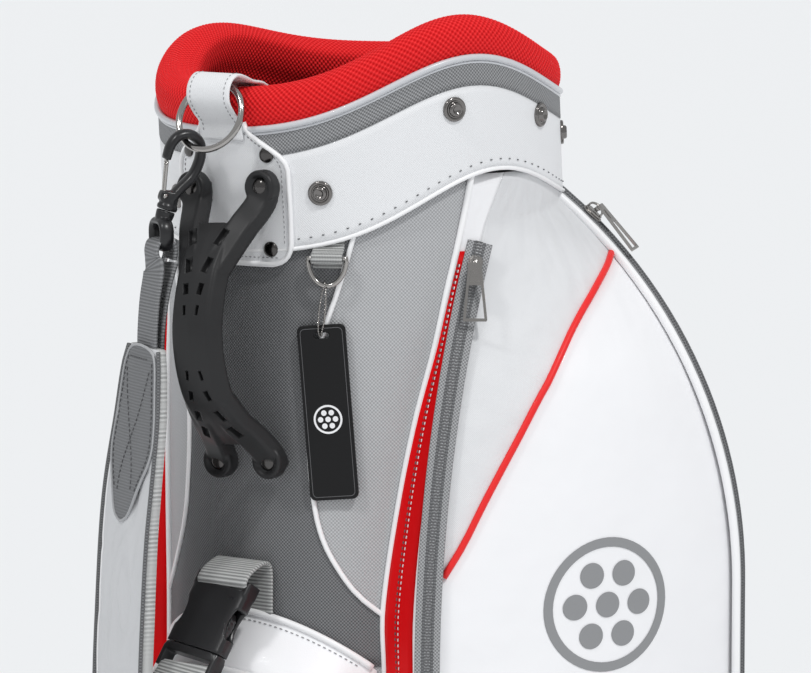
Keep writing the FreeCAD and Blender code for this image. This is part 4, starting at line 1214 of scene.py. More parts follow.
def zip_pull(name, place, body, aside=0):
    """A stamped pull: a narrow head on its pin and a wide open frame, hanging a little aside."""
    outline = [(-3.6, 0.8), (3.6, 0.8), (4.0, -1), (7.2, -33.2), (6.6, -34), (-6.6, -34), (-7.2, -33.2),
               (-4.0, -1)]
    window = [(-3.6, -12.6), (3.6, -12.6), (5.5, -32.2), (-5.5, -32.2)]
    far = ZIP_TOP - 6.9
    pivot = Matrix.Translation((0, ZIP_TOP - 4.7, -0.4))
    hang = pivot @ Matrix.Rotation(math.radians(7), 4, "X") @ Matrix.Rotation(math.radians(aside), 4, "Y")
    parts = [slab("plate", outline, far - 1.7, far, window, edge=0.35)]
    pin = [Vector((x, ZIP_TOP - 4.7, -0.4)) for x in (-3.4, 3.4)]
    parts.append(sweep("pin", pin, disc(0.8, 10)))
    for x in (-2.9, 2.9):
        ear = [Vector((x, ZIP_TOP - 4.2, -0.4)), Vector((x, far - 0.4, -0.4))]
        parts.append(rounded_bar("ear", ear, 1.1, 3.0, normal=(0, 0, 1), sides=10))
    parts.append(slab("grip", [(-2.6, -3.5), (2.6, -3.5), (3.3, -10.5), (-3.3, -10.5)], far - 2.2, far - 1.4,
                      edge=0.2))
    place = place @ hang @ pivot.inverted()
    set_down(joined(name + "_frame", parts), place, look["zip_metal"], body, [name])


def zip_tape(name, place_of, low, high, mirror, node):
    """Woven tape with a row of coil teeth between two corded edges."""
    places = [mirror @ place_of(z) for z in steps(low, high, 9)]
    middle = -ZIP_LIFT - ZIP_THICK / 2

    def line(x, y):
        return [place @ Vector((x, y, 0)) for place in places]

    normals = [-(place.to_3x3() @ Vector((0, 1, 0))) for place in places]
    tape = sweep("tape", line(0, middle), flat_section(ZIP_WIDE, 1.1, 8), normal=lambda index: normals[index])
    if mirror.determinant() < 0:
        tape = fixed_normals(tape)
    finish_piece(tape, look["zip_tape"], replaces=[node] if node else ())
    tape.name = name + "_tape"
    cords = [sweep("cord", line(x, middle - 0.7), disc(0.75, 8)) for x in (-2.7, 2.7)]
    finish_piece(joined(name + "_cords", cords), look["dark_piping"])
    vertices, faces = [], []
    runs = steps(low, high, 1.7)
    for index, z in enumerate(runs):
        place = mirror @ place_of(z)
        lean_over = 0.5 if index % 2 else -0.5
        for x, y, up in ((-2.2, 0, -0.45), (2.2, 0, -0.45), (2.2, 0, 0.45), (-2.2, 0, 0.45)):
            vertices.append(place @ Vector((x + lean_over, middle - 0.5, up)))
            vertices.append(place @ Vector((x * 0.8 + lean_over, middle - 0.9, up * 0.7)))
        base = index * 8
        faces += [(base + 1, base + 3, base + 5, base + 7), (base, base + 2, base + 3, base + 1),
                  (base + 2, base + 4, base + 5, base + 3), (base + 4, base + 6, base + 7, base + 5),
                  (base + 6, base, base + 1, base + 7)]
    finish_piece(new_object(name + "_teeth", vertices, faces, smooth=False), look["coil"])


def zips():
    """The two zips on each side pocket, with their sliders and pulls."""
    front_out, back_out = around(36, 1), around(112, 1)
    for side, mirror in (("right", Matrix.Identity(4)), ("left", MIRROR)):
        for part, edge, outward, high, rest, aside in (("front", front_edge, front_out, 762, 748, -13),
                                                       ("back", back_edge, back_out, 792, 768, 0)):
            name = f"{side}_{part}"
            zip_tape(f"{name}_zip", lambda z: zip_place(edge, z, outward), ZIP_FOOT, high, mirror, f"{name}_zip")
            place = mirror @ zip_place(edge, rest, outward)
            zip_slider(f"{name}_slider", place, f"{name}_slider")
            zip_pull(f"{name}_pull", place, f"{name}_pull", aside)
        seam = []
        for z in steps(ZIP_FOOT, 792, 10):
            place = mirror @ zip_place(back_edge, z, back_out)
            seam.append(place @ Vector((-ZIP_WIDE / 2 - 1.9, -1.6, 0)))
        tube(f"{side}_back_zip_piping", seam, 2.6, look["edge"])


# ---------------------------------------------------------------- ring, hook and strap
HOOK_SEAT = Vector((-22.467, -158.799, 782.648))
HOOK_AXIS = Vector((0.2055, 0.237, 0.9486))
EYE_CENTRE = HOOK_SEAT + Vector((-2.5, -1.5, -13.5))
EYE_ANGLE = -32
EYE_PLACE = facing(EYE_ANGLE, EYE_CENTRE)


def hook():
    """The swivel hook: a flattened plastic bar with a double wire gate, on its webbing eye."""
    place = frame_along(HOOK_SEAT, HOOK_AXIS, Vector((0.445, 0.838, -0.306)))
    bar = smooth_line([(0.4, 0, 7), (3.6, 0, 14), (8.6, 0, 23), (10.2, 0, 30), (9.8, 0, 38), (6.6, 0, 44.4),
                       (0, 0, 47), (-6.6, 0, 44.4), (-9.8, 0, 38), (-9.9, 0, 29)], 1.2)
    count = len(bar) - 1

    def bar_size(index):
        share = index / count
        return 1 + 0.25 * (1 - share), 1 - 0.12 * ease(share, 0.8, 1)

    def bar_normal(index):
        point = bar[index]
        return point - Vector((0, 0, 36)) if point.z > 30 else Vector((1, 0, -0.5))

    section = [(4.1 * a, 3.1 * b) for a, b in disc(1, 20)]
    parts = [sweep("bar", bar, section, normal=bar_normal, sized=bar_size),
             lathe("collar", [(0.01, 0.4), (5.6, 0.4), (6.2, 1.2), (6.2, 3), (5.2, 4.4), (5.0, 8.4), (4.2, 11.6),
                              (0.01, 12.4)], TURN_UP),
             rounded_bar("cheek", [Vector((-4.2, -3.4, 8)), Vector((-4.2, 3.4, 8))], 5.6, 6.5, normal=(0, 0, 1))]
    set_down(melted("hook_moulded", parts, 0.7, 2), place, look["black_plastic"], "hook",
             ["hook_body"])
    wires = []
    for y in (-1.5, 1.5):
        wires.append(sweep("wire", smooth_line([(-4.6, y, 8.6), (-6.2, y, 15), (-9.2, y, 27.6)], 2),
                           disc(0.85, 8)))
    wires.append(sweep("loop", smooth_line([(-9.2, -1.5, 27.6), (-9.6, -0.9, 28.8), (-9.6, 0.9, 28.8),
                                            (-9.2, 1.5, 27.6)], 0.6), disc(0.85, 8)))
    wires.append(sweep("pivot", [Vector((-4.2, -4, 8.2)), Vector((-4.2, 4, 8.2))], disc(1.5, 12)))
    set_down(joined("hook_gate_wires", wires), place, look["chrome"], "hook_gate", ["hook_gate"])
    loop = [Vector((x, 0, z)) for x, z in rounded_outline(-11, 11, -7.6, 7.4, 6.4, 8)]
    ring = sweep("loop", loop, [(4.4 * a, 2.6 * b) for a, b in disc(1, 16)], closed=True,
                 normal=lambda index: loop[index])
    hub = lathe("hub", [(0.01, -7), (4.4, -7), (5.2, -5), (5.6, -1.6), (5.6, 0), (0.01, 0)], TURN_UP)
    moved(hub, EYE_PLACE.inverted() @ place)
    set_down(melted("swivel_eye_moulded", [ring, hub], 0.7, 2), EYE_PLACE, look["black_plastic"], "strap_ring",
             ["swivel_eye"])


def top_webbing():
    """Doubled webbing from the eye's lower bar down to the pad."""
    fold = [EYE_PLACE @ Vector(point) for point in ((0, 5.0, -15), (0, 5.6, -9), (0, 4.4, -5.0), (0, 0, -3.7),
                                                    (0, -4.4, -5.0), (0, -5.9, -9.4), (0, -5.2, -15))]
    down = [Vector((-26.2, -165.6, 748)), Vector((-27.2, -168.4, 730)), Vector((-27.6, -170, 712)),
            Vector((-27.6, -170.4, 700))]
    path = smooth_line(fold + down, 1.6)
    behind = EYE_PLACE.to_3x3() @ Vector((0, 1, 0))

    def side_at(index):
        return sideways(-30 if path[index].z < 752 and index > len(path) // 3 else EYE_ANGLE)

    normals = web_normals(path, side_at)

    def width_at(index):
        return (0.72 + 0.28 * ease(762 - path[index].z, 0, 16) if index > len(path) // 4 else 0.72), 1

    front = sweep("strap_top_front", path, flat_section(32, 2.2, 12), normal=lambda index: normals[index],
                  sized=width_at)
    rear = [point + behind * 3.0 for point in (Vector((-24.2, -158.4, 752)), Vector((-26, -163.6, 735)),
                                               Vector((-27, -167, 715)), Vector((-27.3, -168, 700)))]
    back = sweep("strap_top_back", smooth_line(rear, 3), flat_section(31, 2.2, 12),
                 normal=lambda index: around(EYE_ANGLE, 1))
    web = joined("strap_top_webbing", [front, back])
    finish_piece(web, look["webbing"], body=None, replaces=["strap_web_top"])
    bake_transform(web)


PAD_FOOT, PAD_TOP = 297, 703
PAD = [  # place, angle, width and thickness, from the top down
    ((-27.5, -169.5, PAD_TOP), -28, 44, 7), ((-28.5, -170.5, 690), -26, 50, 8), ((-31, -171.5, 660), -25, 57, 9),
    ((-37, -172, 620), -26, 66, 10), ((-40.5, -172, 590), -27, 69, 11), ((-43.5, -172, 545), -28, 72, 12),
    ((-45, -173, 500), -28, 73, 12), ((-45, -174, 400), -26, 73, 12), ((-43, -173, 330), -24, 66, 11),
    ((-41, -172, 305), -24, 52, 8), ((-41, -172, PAD_FOOT), -24, 40, 5)]


def pad_values():
    """The pad's place, angle, width and thickness as functions of height."""
    ordered = PAD[::-1]
    heights = [spot[2] for spot, *_ in ordered]
    columns = [[spot[0] for spot, *_ in ordered], [spot[1] for spot, *_ in ordered]]
    columns += [[row[i] for row in ordered] for i in (1, 2, 3)]
    return [curve_through(list(zip(heights, column))) for column in columns]


PAD_X, PAD_Y, PAD_ANGLE, PAD_WIDE, PAD_THICK = pad_values()


def on_pad(share, z, lift=0.0, wrinkled=True):
    """A point on the pad's crowned outer face: share -1 at its left edge, 1 at its right edge."""
    side, out = sideways(PAD_ANGLE(z)), around(PAD_ANGLE(z), 1)
    wide, thick = PAD_WIDE(z) / 2, PAD_THICK(z)
    crown = thick * 0.5 * (0.62 + 0.5 * (1 - abs(share) ** 2.6))
    if wrinkled:
        calm = 1 - ease(z, 640, 690)
        fold = noise.noise(Vector((share * 1.7 + z / 46, z / 75 - share * 0.8, 1.3)))
        crease = abs(noise.noise(Vector((share * 2.6 - z / 60, z / 34, 5.1))))
        crown += calm * (1 - abs(share) ** 4) * (1.7 * fold - 2.0 * max(0, 0.22 - crease) * 3)
    return Vector((PAD_X(z), PAD_Y(z), z)) + side * (wide * share) + out * (crown + lift)


def shoulder_pad():
    """The strap's padded length: a leatherette face with shallow creases and a mesh side wall."""
    levels = steps(PAD_FOOT, PAD_TOP, 3)
    front_count, back_count = 33, 13
    vertices, places = [], []
    for z in levels:
        side, out = sideways(PAD_ANGLE(z)), around(PAD_ANGLE(z), 1)
        wide, thick = PAD_WIDE(z) / 2, PAD_THICK(z)
        middle = Vector((PAD_X(z), PAD_Y(z), z))
        for index in range(front_count):
            share = -1 + 2 * index / (front_count - 1)
            vertices.append(on_pad(share, z))
            places.append((share * wide, z))
        for index in range(back_count):
            share = 1 - 2 * index / (back_count - 1)
            swell = 0.6 if abs(share) > 0.99 else 0
            depth = thick * (0.30 + 0.12 * (1 - share ** 4))
            vertices.append(middle + side * (wide * share + math.copysign(swell, share)) - out * depth)
            places.append((share * wide, z))
    ring = front_count + back_count
    faces = quads(len(levels), ring)
    kinds = [0 if index % ring < front_count - 1 else 1 for index in range(len(faces))]
    faces.append(tuple(range(ring - 1, -1, -1)))
    faces.append(tuple(range((len(levels) - 1) * ring, len(levels) * ring)))
    pad = new_object("shoulder_pad_cushion", vertices, faces, places)
    finish_piece(pad, look["pad"], replaces=["shoulder_pad"])
    pad.data.materials.append(look["pad_side"])
    for face, kind in zip(pad.data.polygons, kinds + [1, 1]):
        face.material_index = kind
    for name, share, radius, finish in (("left", -1, 2.3, "pad_piping"), ("right", 1, 1.3, "dark_piping")):
        seam = [on_pad(share * 0.995, z, 0.3, False) for z in steps(299, 702, 5)]
        tube(f"pad_{name}_piping", seam, radius, look[finish])
    inner = [on_pad(-0.9, z, 0.15) for z in steps(299, 690, 5)]
    tube("pad_inner_line", inner, 0.8, look["edge"], sides=6)


patch_half = curve_through([(599, 1), (601, 7), (606, 12), (614, 16), (624, 21), (634, 26), (642, 28.2),
                            (650, 28), (675, 24.5), (690, 22.5), (697, 20.5), (701, 17), (703.5, 9),
                            (704, 2)])


def strap_patch():
    """The reinforcing patch sewn over the pad's top, with a crossed row of stitches."""
    levels = [599, 600, 602, 605, 609] + steps(614, 694, 4) + [697, 700, 702, 703.3, 704]

    def point(share, z):
        on = min(z, PAD_TOP)
        return (on_pad(share * patch_half(z) / (PAD_WIDE(on) / 2), on, 1.0, False)
                + Vector((0, 0, max(z - PAD_TOP, 0))))

    patch = grid("strap_patch_cloth", steps(-1, 1, 1 / 10), levels, point,
                 lambda share, z: (share * patch_half(z), z), thick=0.9)
    finish_piece(patch, look["patch"], replaces=["strap_patch"])
    edge = [point(1, z) for z in levels] + [point(-1, z) for z in reversed(levels)]
    tube("strap_patch_edge", edge, 0.9, look["patch_edge"], closed=True, sides=8)
    rows = []
    for sign in (1, -1):
        rows.append([(sign * (1 - 3.4 / patch_half(z)), z) for z in levels[6:-4]])
        rows.append([(-sign * (0.72 - 1.28 * share), 690 - 74 * share) for share in steps(0, 1, 0.05)])
    rows.append([(share, 696.5) for share in steps(-0.72, 0.72, 0.1)])
    for index, row in enumerate(rows):
        line = [point(share, z) for share, z in row]
        outs = [around(PAD_ANGLE(z), 1) for _, z in row]
        stitches(f"strap_patch_stitches_{index}", [p + o * 0.15 for p, o in zip(line, outs)], outs,
                 look["thread_dark"], 3.4, 2.2, 0.34)


BUCKLE = frame_along((7, -136.5, 564), (-0.127, -0.51, -0.851), (1, 0, 0))
WEB_WIDE, WEB_THICK, WEB_TURN, WEB_FOOT, WEB_ANGLE = 38, 2.4, 9, 180, -24


def web_strip(name, path, normals, width):
    """A flat webbing swept along a path."""
    return sweep(name, path, flat_section(width, WEB_THICK, 14), normal=lambda index: normals[index])


def lower_webbing():
    """The webbing below the pad: down, round the bottom and up behind to the buckle."""
    out = around(WEB_ANGLE, 1)
    near = Vector((-41, -172, 0))
    path = [near + Vector((0, 0, z)) for z in steps(299, WEB_FOOT, 10)]
    for turn in steps(15, 165, 15):
        angle = math.radians(turn)
        path.append(near - out * (WEB_TURN * (1 - math.cos(angle)))
                    + Vector((0, 0, WEB_FOOT - WEB_TURN * math.sin(angle))))
    behind = near - out * (2 * WEB_TURN)
    path += [behind + Vector((0, 0, z)) for z in steps(WEB_FOOT, 441, 10)]
    normals = web_normals(path, lambda index: sideways(WEB_ANGLE))
    web = web_strip("strap_lower_webbing", path, normals, WEB_WIDE)
    finish_piece(web, look["light_webbing"], replaces=["strap_web_lower"])
    place = facing(WEB_ANGLE, behind + Vector((0, 0, 330)))
    frame_out = rounded_outline(-23, 23, -13, 13, 4)
    opening = rounded_outline(-19.6, 19.6, -9, 9, 2)
    ladder = [slab("frame", frame_out, -3, 3, opening, edge=1.0),
              rounded_bar("bar", [Vector((-20, -2.9, 0)), Vector((20, -2.9, 0))], 5, 2.4, normal=(0, -1, 0))]
    set_down(joined("strap_ladder", ladder), place, look["black_plastic"], "root",
             ["strap_adjuster"])
    climb = [Vector((behind.x, behind.y, 436)), Vector((behind.x + 1, behind.y - 0.6, 448)),
             Vector((-29.4, -158.6, 466)), Vector((-15.5, -164.5, 482)), Vector((-6, -169.6, 492))]
    fold = [BUCKLE @ Vector(point) for point in ((0, 3.6, 70), (0, 3.9, 62), (0, 2.8, 58.4), (0, 0, 57.2),
                                                  (0, -2.8, 58.4), (0, -3.9, 62), (0, -3.6, 72), (0, -3.0, 82))]
    path = smooth_line(climb + fold, 3)
    turns = curve_through([(0, WEB_ANGLE), (0.2, -20), (0.4, -12), (0.55, -5), (0.7, 0), (1, 0)])
    normals = web_normals(path, lambda index: sideways(turns(index / (len(path) - 1))))
    end = web_strip("strap_end_webbing", path, normals, WEB_WIDE)
    finish_piece(end, look["light_webbing"], body=None, replaces=["strap_web_end"])
    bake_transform(end)


def box_bar(name, low, high, power=6.0):
    """A softly squared block between two corners, along its Z."""
    low, high = Vector(low), Vector(high)
    middle = (low + high) / 2
    path = [Vector((middle.x, middle.y, z)) for z in (low.z, middle.z, high.z)]
    return rounded_bar(name, path, high.x - low.x, high.y - low.y, normal=(0, 1, 0), power=power, sides=24)


def oval_cutter(x, z, wide, tall):
    """A bar through the socket that cuts an oval thumb opening."""
    path = [Vector((x, y, z)) for y in (-12, 0, 12)]
    return rounded_bar("oval", path, wide, tall, normal=(0, 0, 1), power=2.0, sides=24)


def buckle():
    """The side-release buckle: a socket on the barrel's webbing, a plug and its two prongs."""
    length = 47
    shell = box_bar("socket", (-21.5, -5.8, 6.5), (21.5, 5.8, length), 7)
    ends = [box_bar("post", (x - 2.2, -5.4, 0.5), (x + 2.2, 5.4, 9)) for x in (-19.3, 19.3)]
    top = rounded_bar("top_bar", [Vector((-20, 0, 1.6)), Vector((20, 0, 1.6))], 3.2, 8, normal=(0, 1, 0))
    cutters = [box_bar("cavity", (-17.8, -3.9, 10), (17.8, 3.9, 60)),
               box_bar("left_window", (-30, -3.9, 18), (-12.6, 3.9, 37)),
               box_bar("right_window", (12.6, -3.9, 18), (30, 3.9, 37)),
               oval_cutter(-21.5, 27, 9, 20), oval_cutter(21.5, 27, 9, 20)]
    socket = melted("buckle_socket", [shell, top] + ends, 0.7, 2, cutters)
    set_down(socket, BUCKLE, look["black_plastic"], "root", ["buckle_female"])
    parts = [box_bar("stop", (-21.5, -5.9, length + 0.6), (21.5, 5.9, length + 5.4)),
             box_bar("left_rail", (-21.4, -5.2, length + 3), (-17.6, 5.2, length + 16)),
             box_bar("right_rail", (17.6, -5.2, length + 3), (21.4, 5.2, length + 16)),
             rounded_bar("bar", [Vector((-20, 0, 61.2)), Vector((20, 0, 61.2))], 3.4, 4, normal=(0, 1, 0)),
             box_bar("tongue", (-4.4, -2, 17), (4.4, 2, length + 2))]
    set_down(melted("buckle_plug", parts, 0.7, 2), BUCKLE, look["black_plastic"], "buckle_male",
             ["buckle_male"])
    for node, sign in (("buckle_prong_left", -1), ("buckle_prong_right", 1)):
        spine = smooth_line([(sign * 14.8, 0, length - 0.4), (sign * 14.9, 0, 38), (sign * 15.5, 0, 31),
                             (sign * 15.4, 0, 25), (sign * 13.8, 0, 20.6)], 1.5)
        prong = rounded_bar("prong", spine, 3.4, 6.0, normal=(0, 1, 0))
        ribs = [box_bar("rib", (sign * 16.9 - 0.6, -2.6, z - 0.6), (sign * 16.9 + 0.6, 2.6, z + 0.6))
                for z in (24.5, 27.5, 30.5)]
        set_down(melted(node + "_moulded", [prong] + ribs, 0.5, 1), BUCKLE, look["black_plastic"], node,
                 [node])


def anchor_webbing():
    """The short webbing sewn to the barrel and folded over the socket's bar."""
    profile = [(-119.9, 541), (-119.9, 555), (-119.9, 566), (-121.2, 571.6), (-126, 573.4), (-133, 571.6),
               (-139.4, 568.6), (-143.2, 565.4), (-144.2, 562.6), (-142.2, 560.4), (-138.6, 560)]
    path = smooth_line([(7, y, z) for y, z in profile], 2)
    normals = web_normals(path, lambda index: Vector((1, 0, 0)))
    web = web_strip("buckle_loop_webbing", path, normals, WEB_WIDE)
    finish_piece(web, look["light_webbing"], replaces=["buckle_anchor_web"])


# ---------------------------------------------------------------- name tag
TAG_ANGLE = 28.5


def name_tag():
    """The loop, the D ring, the ball chain and the hanging name tag."""
    place = facing(TAG_ANGLE, around(TAG_ANGLE, 118, 0))
    fold = smooth_line([(0, -0.9, 770), (0, -0.9, 766), (0, -2.0, 762), (0, -5.6, 759), (0, -8.6, 758.2),
                        (0, -10.2, 755.6), (0, -8.4, 753), (0, -5, 753.4), (0, -1.8, 752.6), (0, -0.9, 749)],
                       1)
    normals = web_normals(fold, lambda index: Vector((1, 0, 0)))
    web = sweep("loop", fold, flat_section(19, 1.2, 8), normal=lambda index: normals[index])
    set_down(web, place, look["light_webbing"], "root", ["d_ring_web"])
    web.name = "tag_loop_webbing"
    bow = [Vector((11.5 * math.cos(t), -7.2 - 1.3 * math.sin(t) ** 2, 755.7 - 16.2 * math.sin(t)))
           for t in steps(0, math.pi, math.pi / 28)]
    bow = bow + [Vector((x, -7.2, 755.7)) for x in steps(-9, 9, 3)]
    ring = sweep("bow", bow, disc(1.5, 12), closed=True, normal=lambda index: Vector((0, -1, 0)))
    set_down(ring, place, look["chrome"], "d_ring", ["d_ring"])
    ring.name = "d_ring_rod"
    strand = smooth_line([(-5.4, -3.4, 709.6), (-5.6, -5.6, 712.2), (-5.4, -6.8, 718), (-4.4, -7.4, 728),
                          (-2.6, -7.2, 737), (-1.6, -7.6, 741.2), (-0.9, -9.6, 741.4), (-0.2, -10.6, 737.5),
                          (-0.6, -9.8, 728), (-1.8, -8.2, 718), (-3.4, -6.0, 712.4), (-4.2, -3.6, 709.6)],
                         1.75)
    ball = [(0.01, -0.78), (0.5, -0.6), (0.78, 0), (0.5, 0.6), (0.01, 0.78)]
    balls = [lathe("ball", ball, Matrix.Translation(spot), 8) for spot in strand]
    balls.append(sweep("thread", strand, disc(0.3, 6)))
    set_down(joined("tag_ball_chain", balls), place, look["chrome"], "name_tag", ["tag_chain"])
    hung = place @ Matrix.Translation(Vector((-4.5, -3.6, 716))) @ Matrix.Rotation(math.radians(-4.6), 4, "Y")
    outline = rounded_outline(-14.5, 14.5, -104, 0, 3.6, 6)
    plate = slab("plate", outline, -1.2, 1.2, rounded_outline(-4.5, 4.5, -8, -4.6, 1.6, 4), edge=0.5)
    set_down(plate, hung, look["tag"], "name_tag", ["name_tag"])
    plate.name = "tag_plate"
    border = [Vector((x, -1.25, z)) for x, z in rounded_outline(-12.6, 12.6, -102, -2, 2.6, 5)]
    line = sweep("border", border, disc(0.22, 6), closed=True)
    set_down(line, hung, look["thread_dark"], "name_tag")
    line.name = "tag_border_line"
    emblem("tag_emblem", lambda x, z: hung @ Vector((x, -1.3, z - 56)), 8.6, look["thread_light"], "name_tag")


def emblem(name, spot, radius, material, body):
    """A plain round mark, a ring with seven dots like a ball's dimples; spot(x, z) is a point on its surface."""
    rings = [(radius * 0.86, radius, 0, 0), (0.02, radius * 0.19, 0, 0)]
    for turn in steps(0, 2 * math.pi, math.pi / 3)[:-1]:
        rings.append((0.02, radius * 0.19, radius * 0.52 * math.cos(turn), radius * 0.52 * math.sin(turn)))
    vertices, faces, places = [], [], []
    for inner, outer, x, z in rings:
        base, count = len(vertices), 56
        for index in range(count):
            turn = 2 * math.pi * index / count
            for r in (inner, outer):
                place = (x + r * math.cos(turn), z + r * math.sin(turn))
                vertices.append(spot(*place))
                places.append(place)
        for index in range(count):
            beside = (index + 1) % count
            faces.append((base + 2 * index, base + 2 * index + 1, base + 2 * beside + 1, base + 2 * beside))
    finish_piece(new_object(name, vertices, faces, places), material, body)


def pocket_emblems():
    """The same round mark in grey on each side pocket."""
    for side, sign in SIDES:
        def spot(x, z):
            return mirrored(pocket_front(0.5 + x / POCKET_WIDE, 548 + z) + around(80, 0.35), sign)

        emblem(side + "_pocket_emblem", spot, 40, look["grey_print"], "root")


# ---------------------------------------------------------------- spine pocket and ball pocket
def arched_top(angle):
    """Height of the spine pocket's arched upper seam."""
    return 543 - 37 * (angle / 44.4) ** 2


def spine_pocket():
    """The low pocket on the spine: a sloped white band under an arched seam, and a full front."""
    half, skin, foot_z, band_fall = 42, 119.4, 102, 33

    def depth_at(share):
        return 23.5 * (1 - abs(share) ** 7)

    def band_point(share, fall):
        angle = half * share
        top = arched_top(angle)
        return around(angle, skin + depth_at(share) * ease(fall, -0.25, 1.15), top - band_fall * fall)

    band = grid("spine_pocket_band", steps(-1, 1, 1 / 24), steps(1, 0, 1 / 10), band_point,
                lambda share, fall: (share * 90, fall * 36), thick=1)
    finish_piece(band, look["white"], replaces=["spine_pocket"])

    def front_point(share, rise):
        angle = half * share
        high = arched_top(angle) - band_fall
        z = foot_z + (high - foot_z) * rise
        foot = 0.45 + 0.55 * ease(z, foot_z, 132)
        swell = 1.2 * noise.noise(Vector((share * 1.6, z / 80, 8.8))) * (1 - abs(share))
        return around(angle, skin + depth_at(share) * foot * 0.985 + swell, z)

    front = grid("spine_pocket_front", steps(-1, 1, 1 / 24), steps(0, 1, 1 / 48), front_point,
                 lambda share, rise: (share * 90, rise * 400), thick=1)
    finish_piece(front, look["white"])
    for name, fall in (("upper", 0), ("lower", 1.0)):
        seam = [band_point(share, fall) + around(half * share, 0.9) for share in steps(-0.97, 0.97, 0.03)]
        tube(f"spine_pocket_{name}_piping", seam, 2.0, look["edge"])
    under = [band_point(share, 1.0) + around(half * share, 1.0) - Vector((0, 0, 3.4))
             for share in steps(-0.95, 0.95, 0.03)]
    tube("spine_pocket_dark_seam", under, 0.9, look["dark_piping"], sides=6)
    row = [band_point(share, 0.14) + around(half * share, 0.5) for share in steps(-0.9, 0.9, 0.05)]
    stitches("spine_pocket_stitches", row, [Vector((p.x, p.y, 0)) for p in row], look["thread_grey"], 3.6,
             2.0, 0.3)
    for side, sign in SIDES:
        seam = [front_point(sign * 0.93, rise) + around(sign * half, 0.8) for rise in steps(0.02, 0.99, 0.03)]
        tube(f"spine_pocket_{side}_piping", seam, 1.7, look["edge"])


def ball_pocket():
    """The ball pocket on the back, with a zip down its right."""
    half, deep, root, crown = 33, 58, 118.5, 14
    side, inner = root * math.sin(math.radians(half)), root * math.cos(math.radians(half))
    share_at = curve_through([(105, 0.7), (120, 0.9), (135, 1), (410, 1), (440, 0.86), (455, 0.7), (470, 0.3)])

    def outline(z):
        shoulder = root + deep * share_at(z) - 1.5 - crown
        points = [Vector((side * (1 - 0.06 * t), inner + (shoulder - inner) * t, z)) for t in steps(0, 1, 0.2)]
        for t in steps(-1, 1, 1 / 10)[1:]:
            points.append(Vector((-side * 0.94 * t, shoulder + crown * (1 - abs(t) ** 2.4), z)))
        points += [Vector((-side * (0.94 + 0.06 * t), shoulder + (inner - shoulder) * t, z))
                   for t in steps(0.2, 1, 0.2)]
        return points

    levels = [105, 110, 118] + steps(128, 440, 12) + [448, 456, 463, 470]
    rows = [outline(z) for z in levels]
    width = len(rows[0])
    vertices = [point for row in rows for point in row]
    places = [(index * 9.0, z) for z in levels for index in range(width)]
    faces = quads(len(levels), width, round_columns=False)
    faces.append(tuple(range(width - 1, -1, -1)))
    faces.append(tuple(range((len(levels) - 1) * width, len(levels) * width)))
    shell = new_object("ball_pocket_shell", vertices, faces, places)
    finish_piece(shell, look["panel"], replaces=["ball_pocket"])
    for name, column in (("right", 5), ("left", width - 6)):
        seam = [row[column] + Vector((math.copysign(0.8, row[column].x), 0.8, 0)) for row in rows]
        tube(f"ball_pocket_{name}_piping", seam, 2.0, look["red_piping"])
    top = [point + Vector((0, 0.8, 1.0)) for point in outline(446)[1:-1]]
    tube("ball_pocket_top_piping", top, 2.0, look["red_piping"])
    zip_line = facing(168, (44, 169.5, 0))
    zip_foot, zip_head, slider_rest = 150, 384, 362

    def zip_at(z):
        return zip_line @ Matrix.Translation(Vector((0, 0, z)))

    zip_tape("ball_pocket_zip", zip_at, zip_foot, zip_head, Matrix.Identity(4), "ball_zip")
    zip_slider("ball_slider", zip_at(slider_rest), "ball_slider")
    zip_pull("ball_pull", zip_at(slider_rest), "ball_pull")


def divider_padding():
    """Padded sleeves over the divider bars."""
    runs = [[(0, -104, 814), (0, 0, 815), (0, 104, 814)]]
    for y in (-38, 38):
        reach_x = math.sqrt(108 ** 2 - y ** 2)
        runs += [[(-reach_x, y, 814), (-reach_x / 2, y, 815), (-7.5, y, 814)],
                 [(7.5, y, 814), (reach_x / 2, y, 815), (reach_x, y, 814)]]
    sleeves = [rounded_bar("sleeve", smooth_line(run, 6), 13.6, 13, normal=(0, 0, 1), power=2.4, sides=16)
               for run in runs]
    sleeve = finish_piece(joined("divider_sleeves", sleeves), look["lining"],
                          replaces=["divider_bars"])


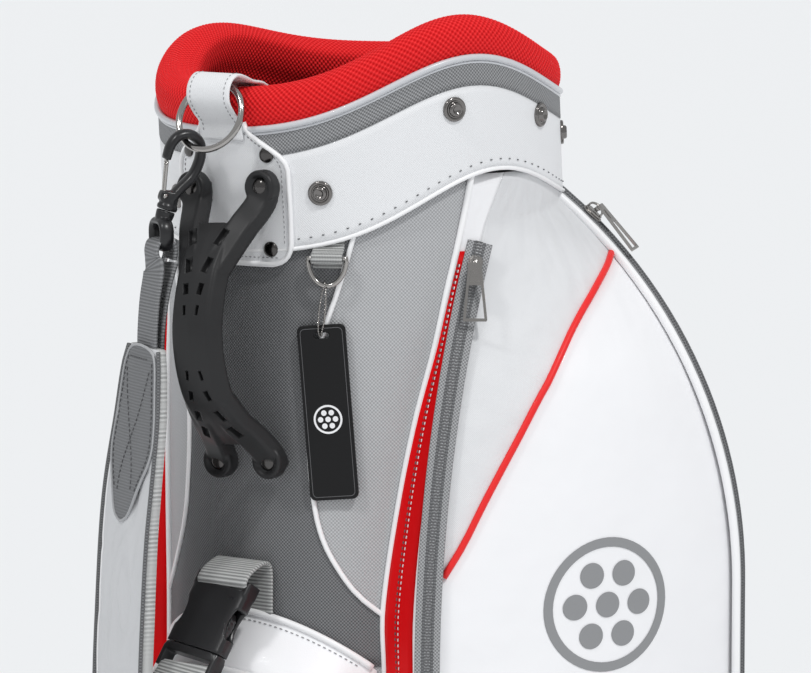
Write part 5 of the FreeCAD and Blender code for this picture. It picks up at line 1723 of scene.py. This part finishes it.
def gusset_threads():
    """The light and the dark row of stitches down each gusset."""
    for side, sign in SIDES:
        for name, share, finish in (("light", 0.36, "thread_light"), ("dark", 0.30, "thread_dark")):
            line = [mirrored(pocket_near(share, z) + around(30, 1.3), sign) for z in steps(90, 752, 6)]
            normals = [around(sign * 30, 1)] * len(line)
            stitches(f"{side}_gusset_{name}_stitches", line, normals, look[finish], 3.4, 1.9, 0.36)


def paint_frame_nodes():
    """Better finishes on the CAD pieces that stay."""
    finishes = {"base_cup": "base_plastic", "barrel_shell": "lining", "stay_rods": "aluminium",
                "collar_band": "lining", "top_frame": "frame_plastic", "divider_bars": "lining",
                "divider_long_sheet": "lining", "divider_cross_sheets": "lining", "hood_snaps": "chrome",
                "handle_patch": "collar", "patch_rivets": "gunmetal", "handle_grip": "black_rubber",
                "handle_rivets": "gunmetal", "strap_ring": "chrome", "hook_body": "black_plastic",
                "hook_gate": "chrome", "swivel_eye": "black_plastic", "strap_web_top": "webbing",
                "shoulder_pad": "pad", "strap_patch": "patch", "strap_web_lower": "webbing",
                "strap_adjuster": "black_plastic", "strap_web_end": "webbing",
                "buckle_female": "black_plastic", "buckle_male": "black_plastic",
                "buckle_prong_left": "black_plastic", "buckle_prong_right": "black_plastic",
                "buckle_anchor_web": "webbing", "d_ring_web": "webbing", "d_ring": "chrome",
                "tag_chain": "chrome", "name_tag": "tag", "spine_pocket": "white", "ball_pocket": "white",
                "ball_zip": "zip_tape", "ball_slider": "zip_metal", "ball_pull": "zip_metal"}
    for side in ("right", "left"):
        for part in ("front", "back"):
            finishes[f"{side}_{part}_zip"] = "zip_tape"
            finishes[f"{side}_{part}_slider"] = "zip_metal"
            finishes[f"{side}_{part}_pull"] = "zip_metal"
    for node, finish in finishes.items():
        mesh = nodes[node].data
        mesh.materials.clear()
        mesh.materials.append(look[finish])


barrel_panels()
side_pockets()
collar()
padded_cuff()
handle()
handle_patch()
snaps()
zips()
gusset_threads()
hook()
top_webbing()
shoulder_pad()
strap_patch()
lower_webbing()
buckle()
anchor_webbing()
name_tag()
pocket_emblems()
spine_pocket()
ball_pocket()
divider_padding()
paint_frame_nodes()
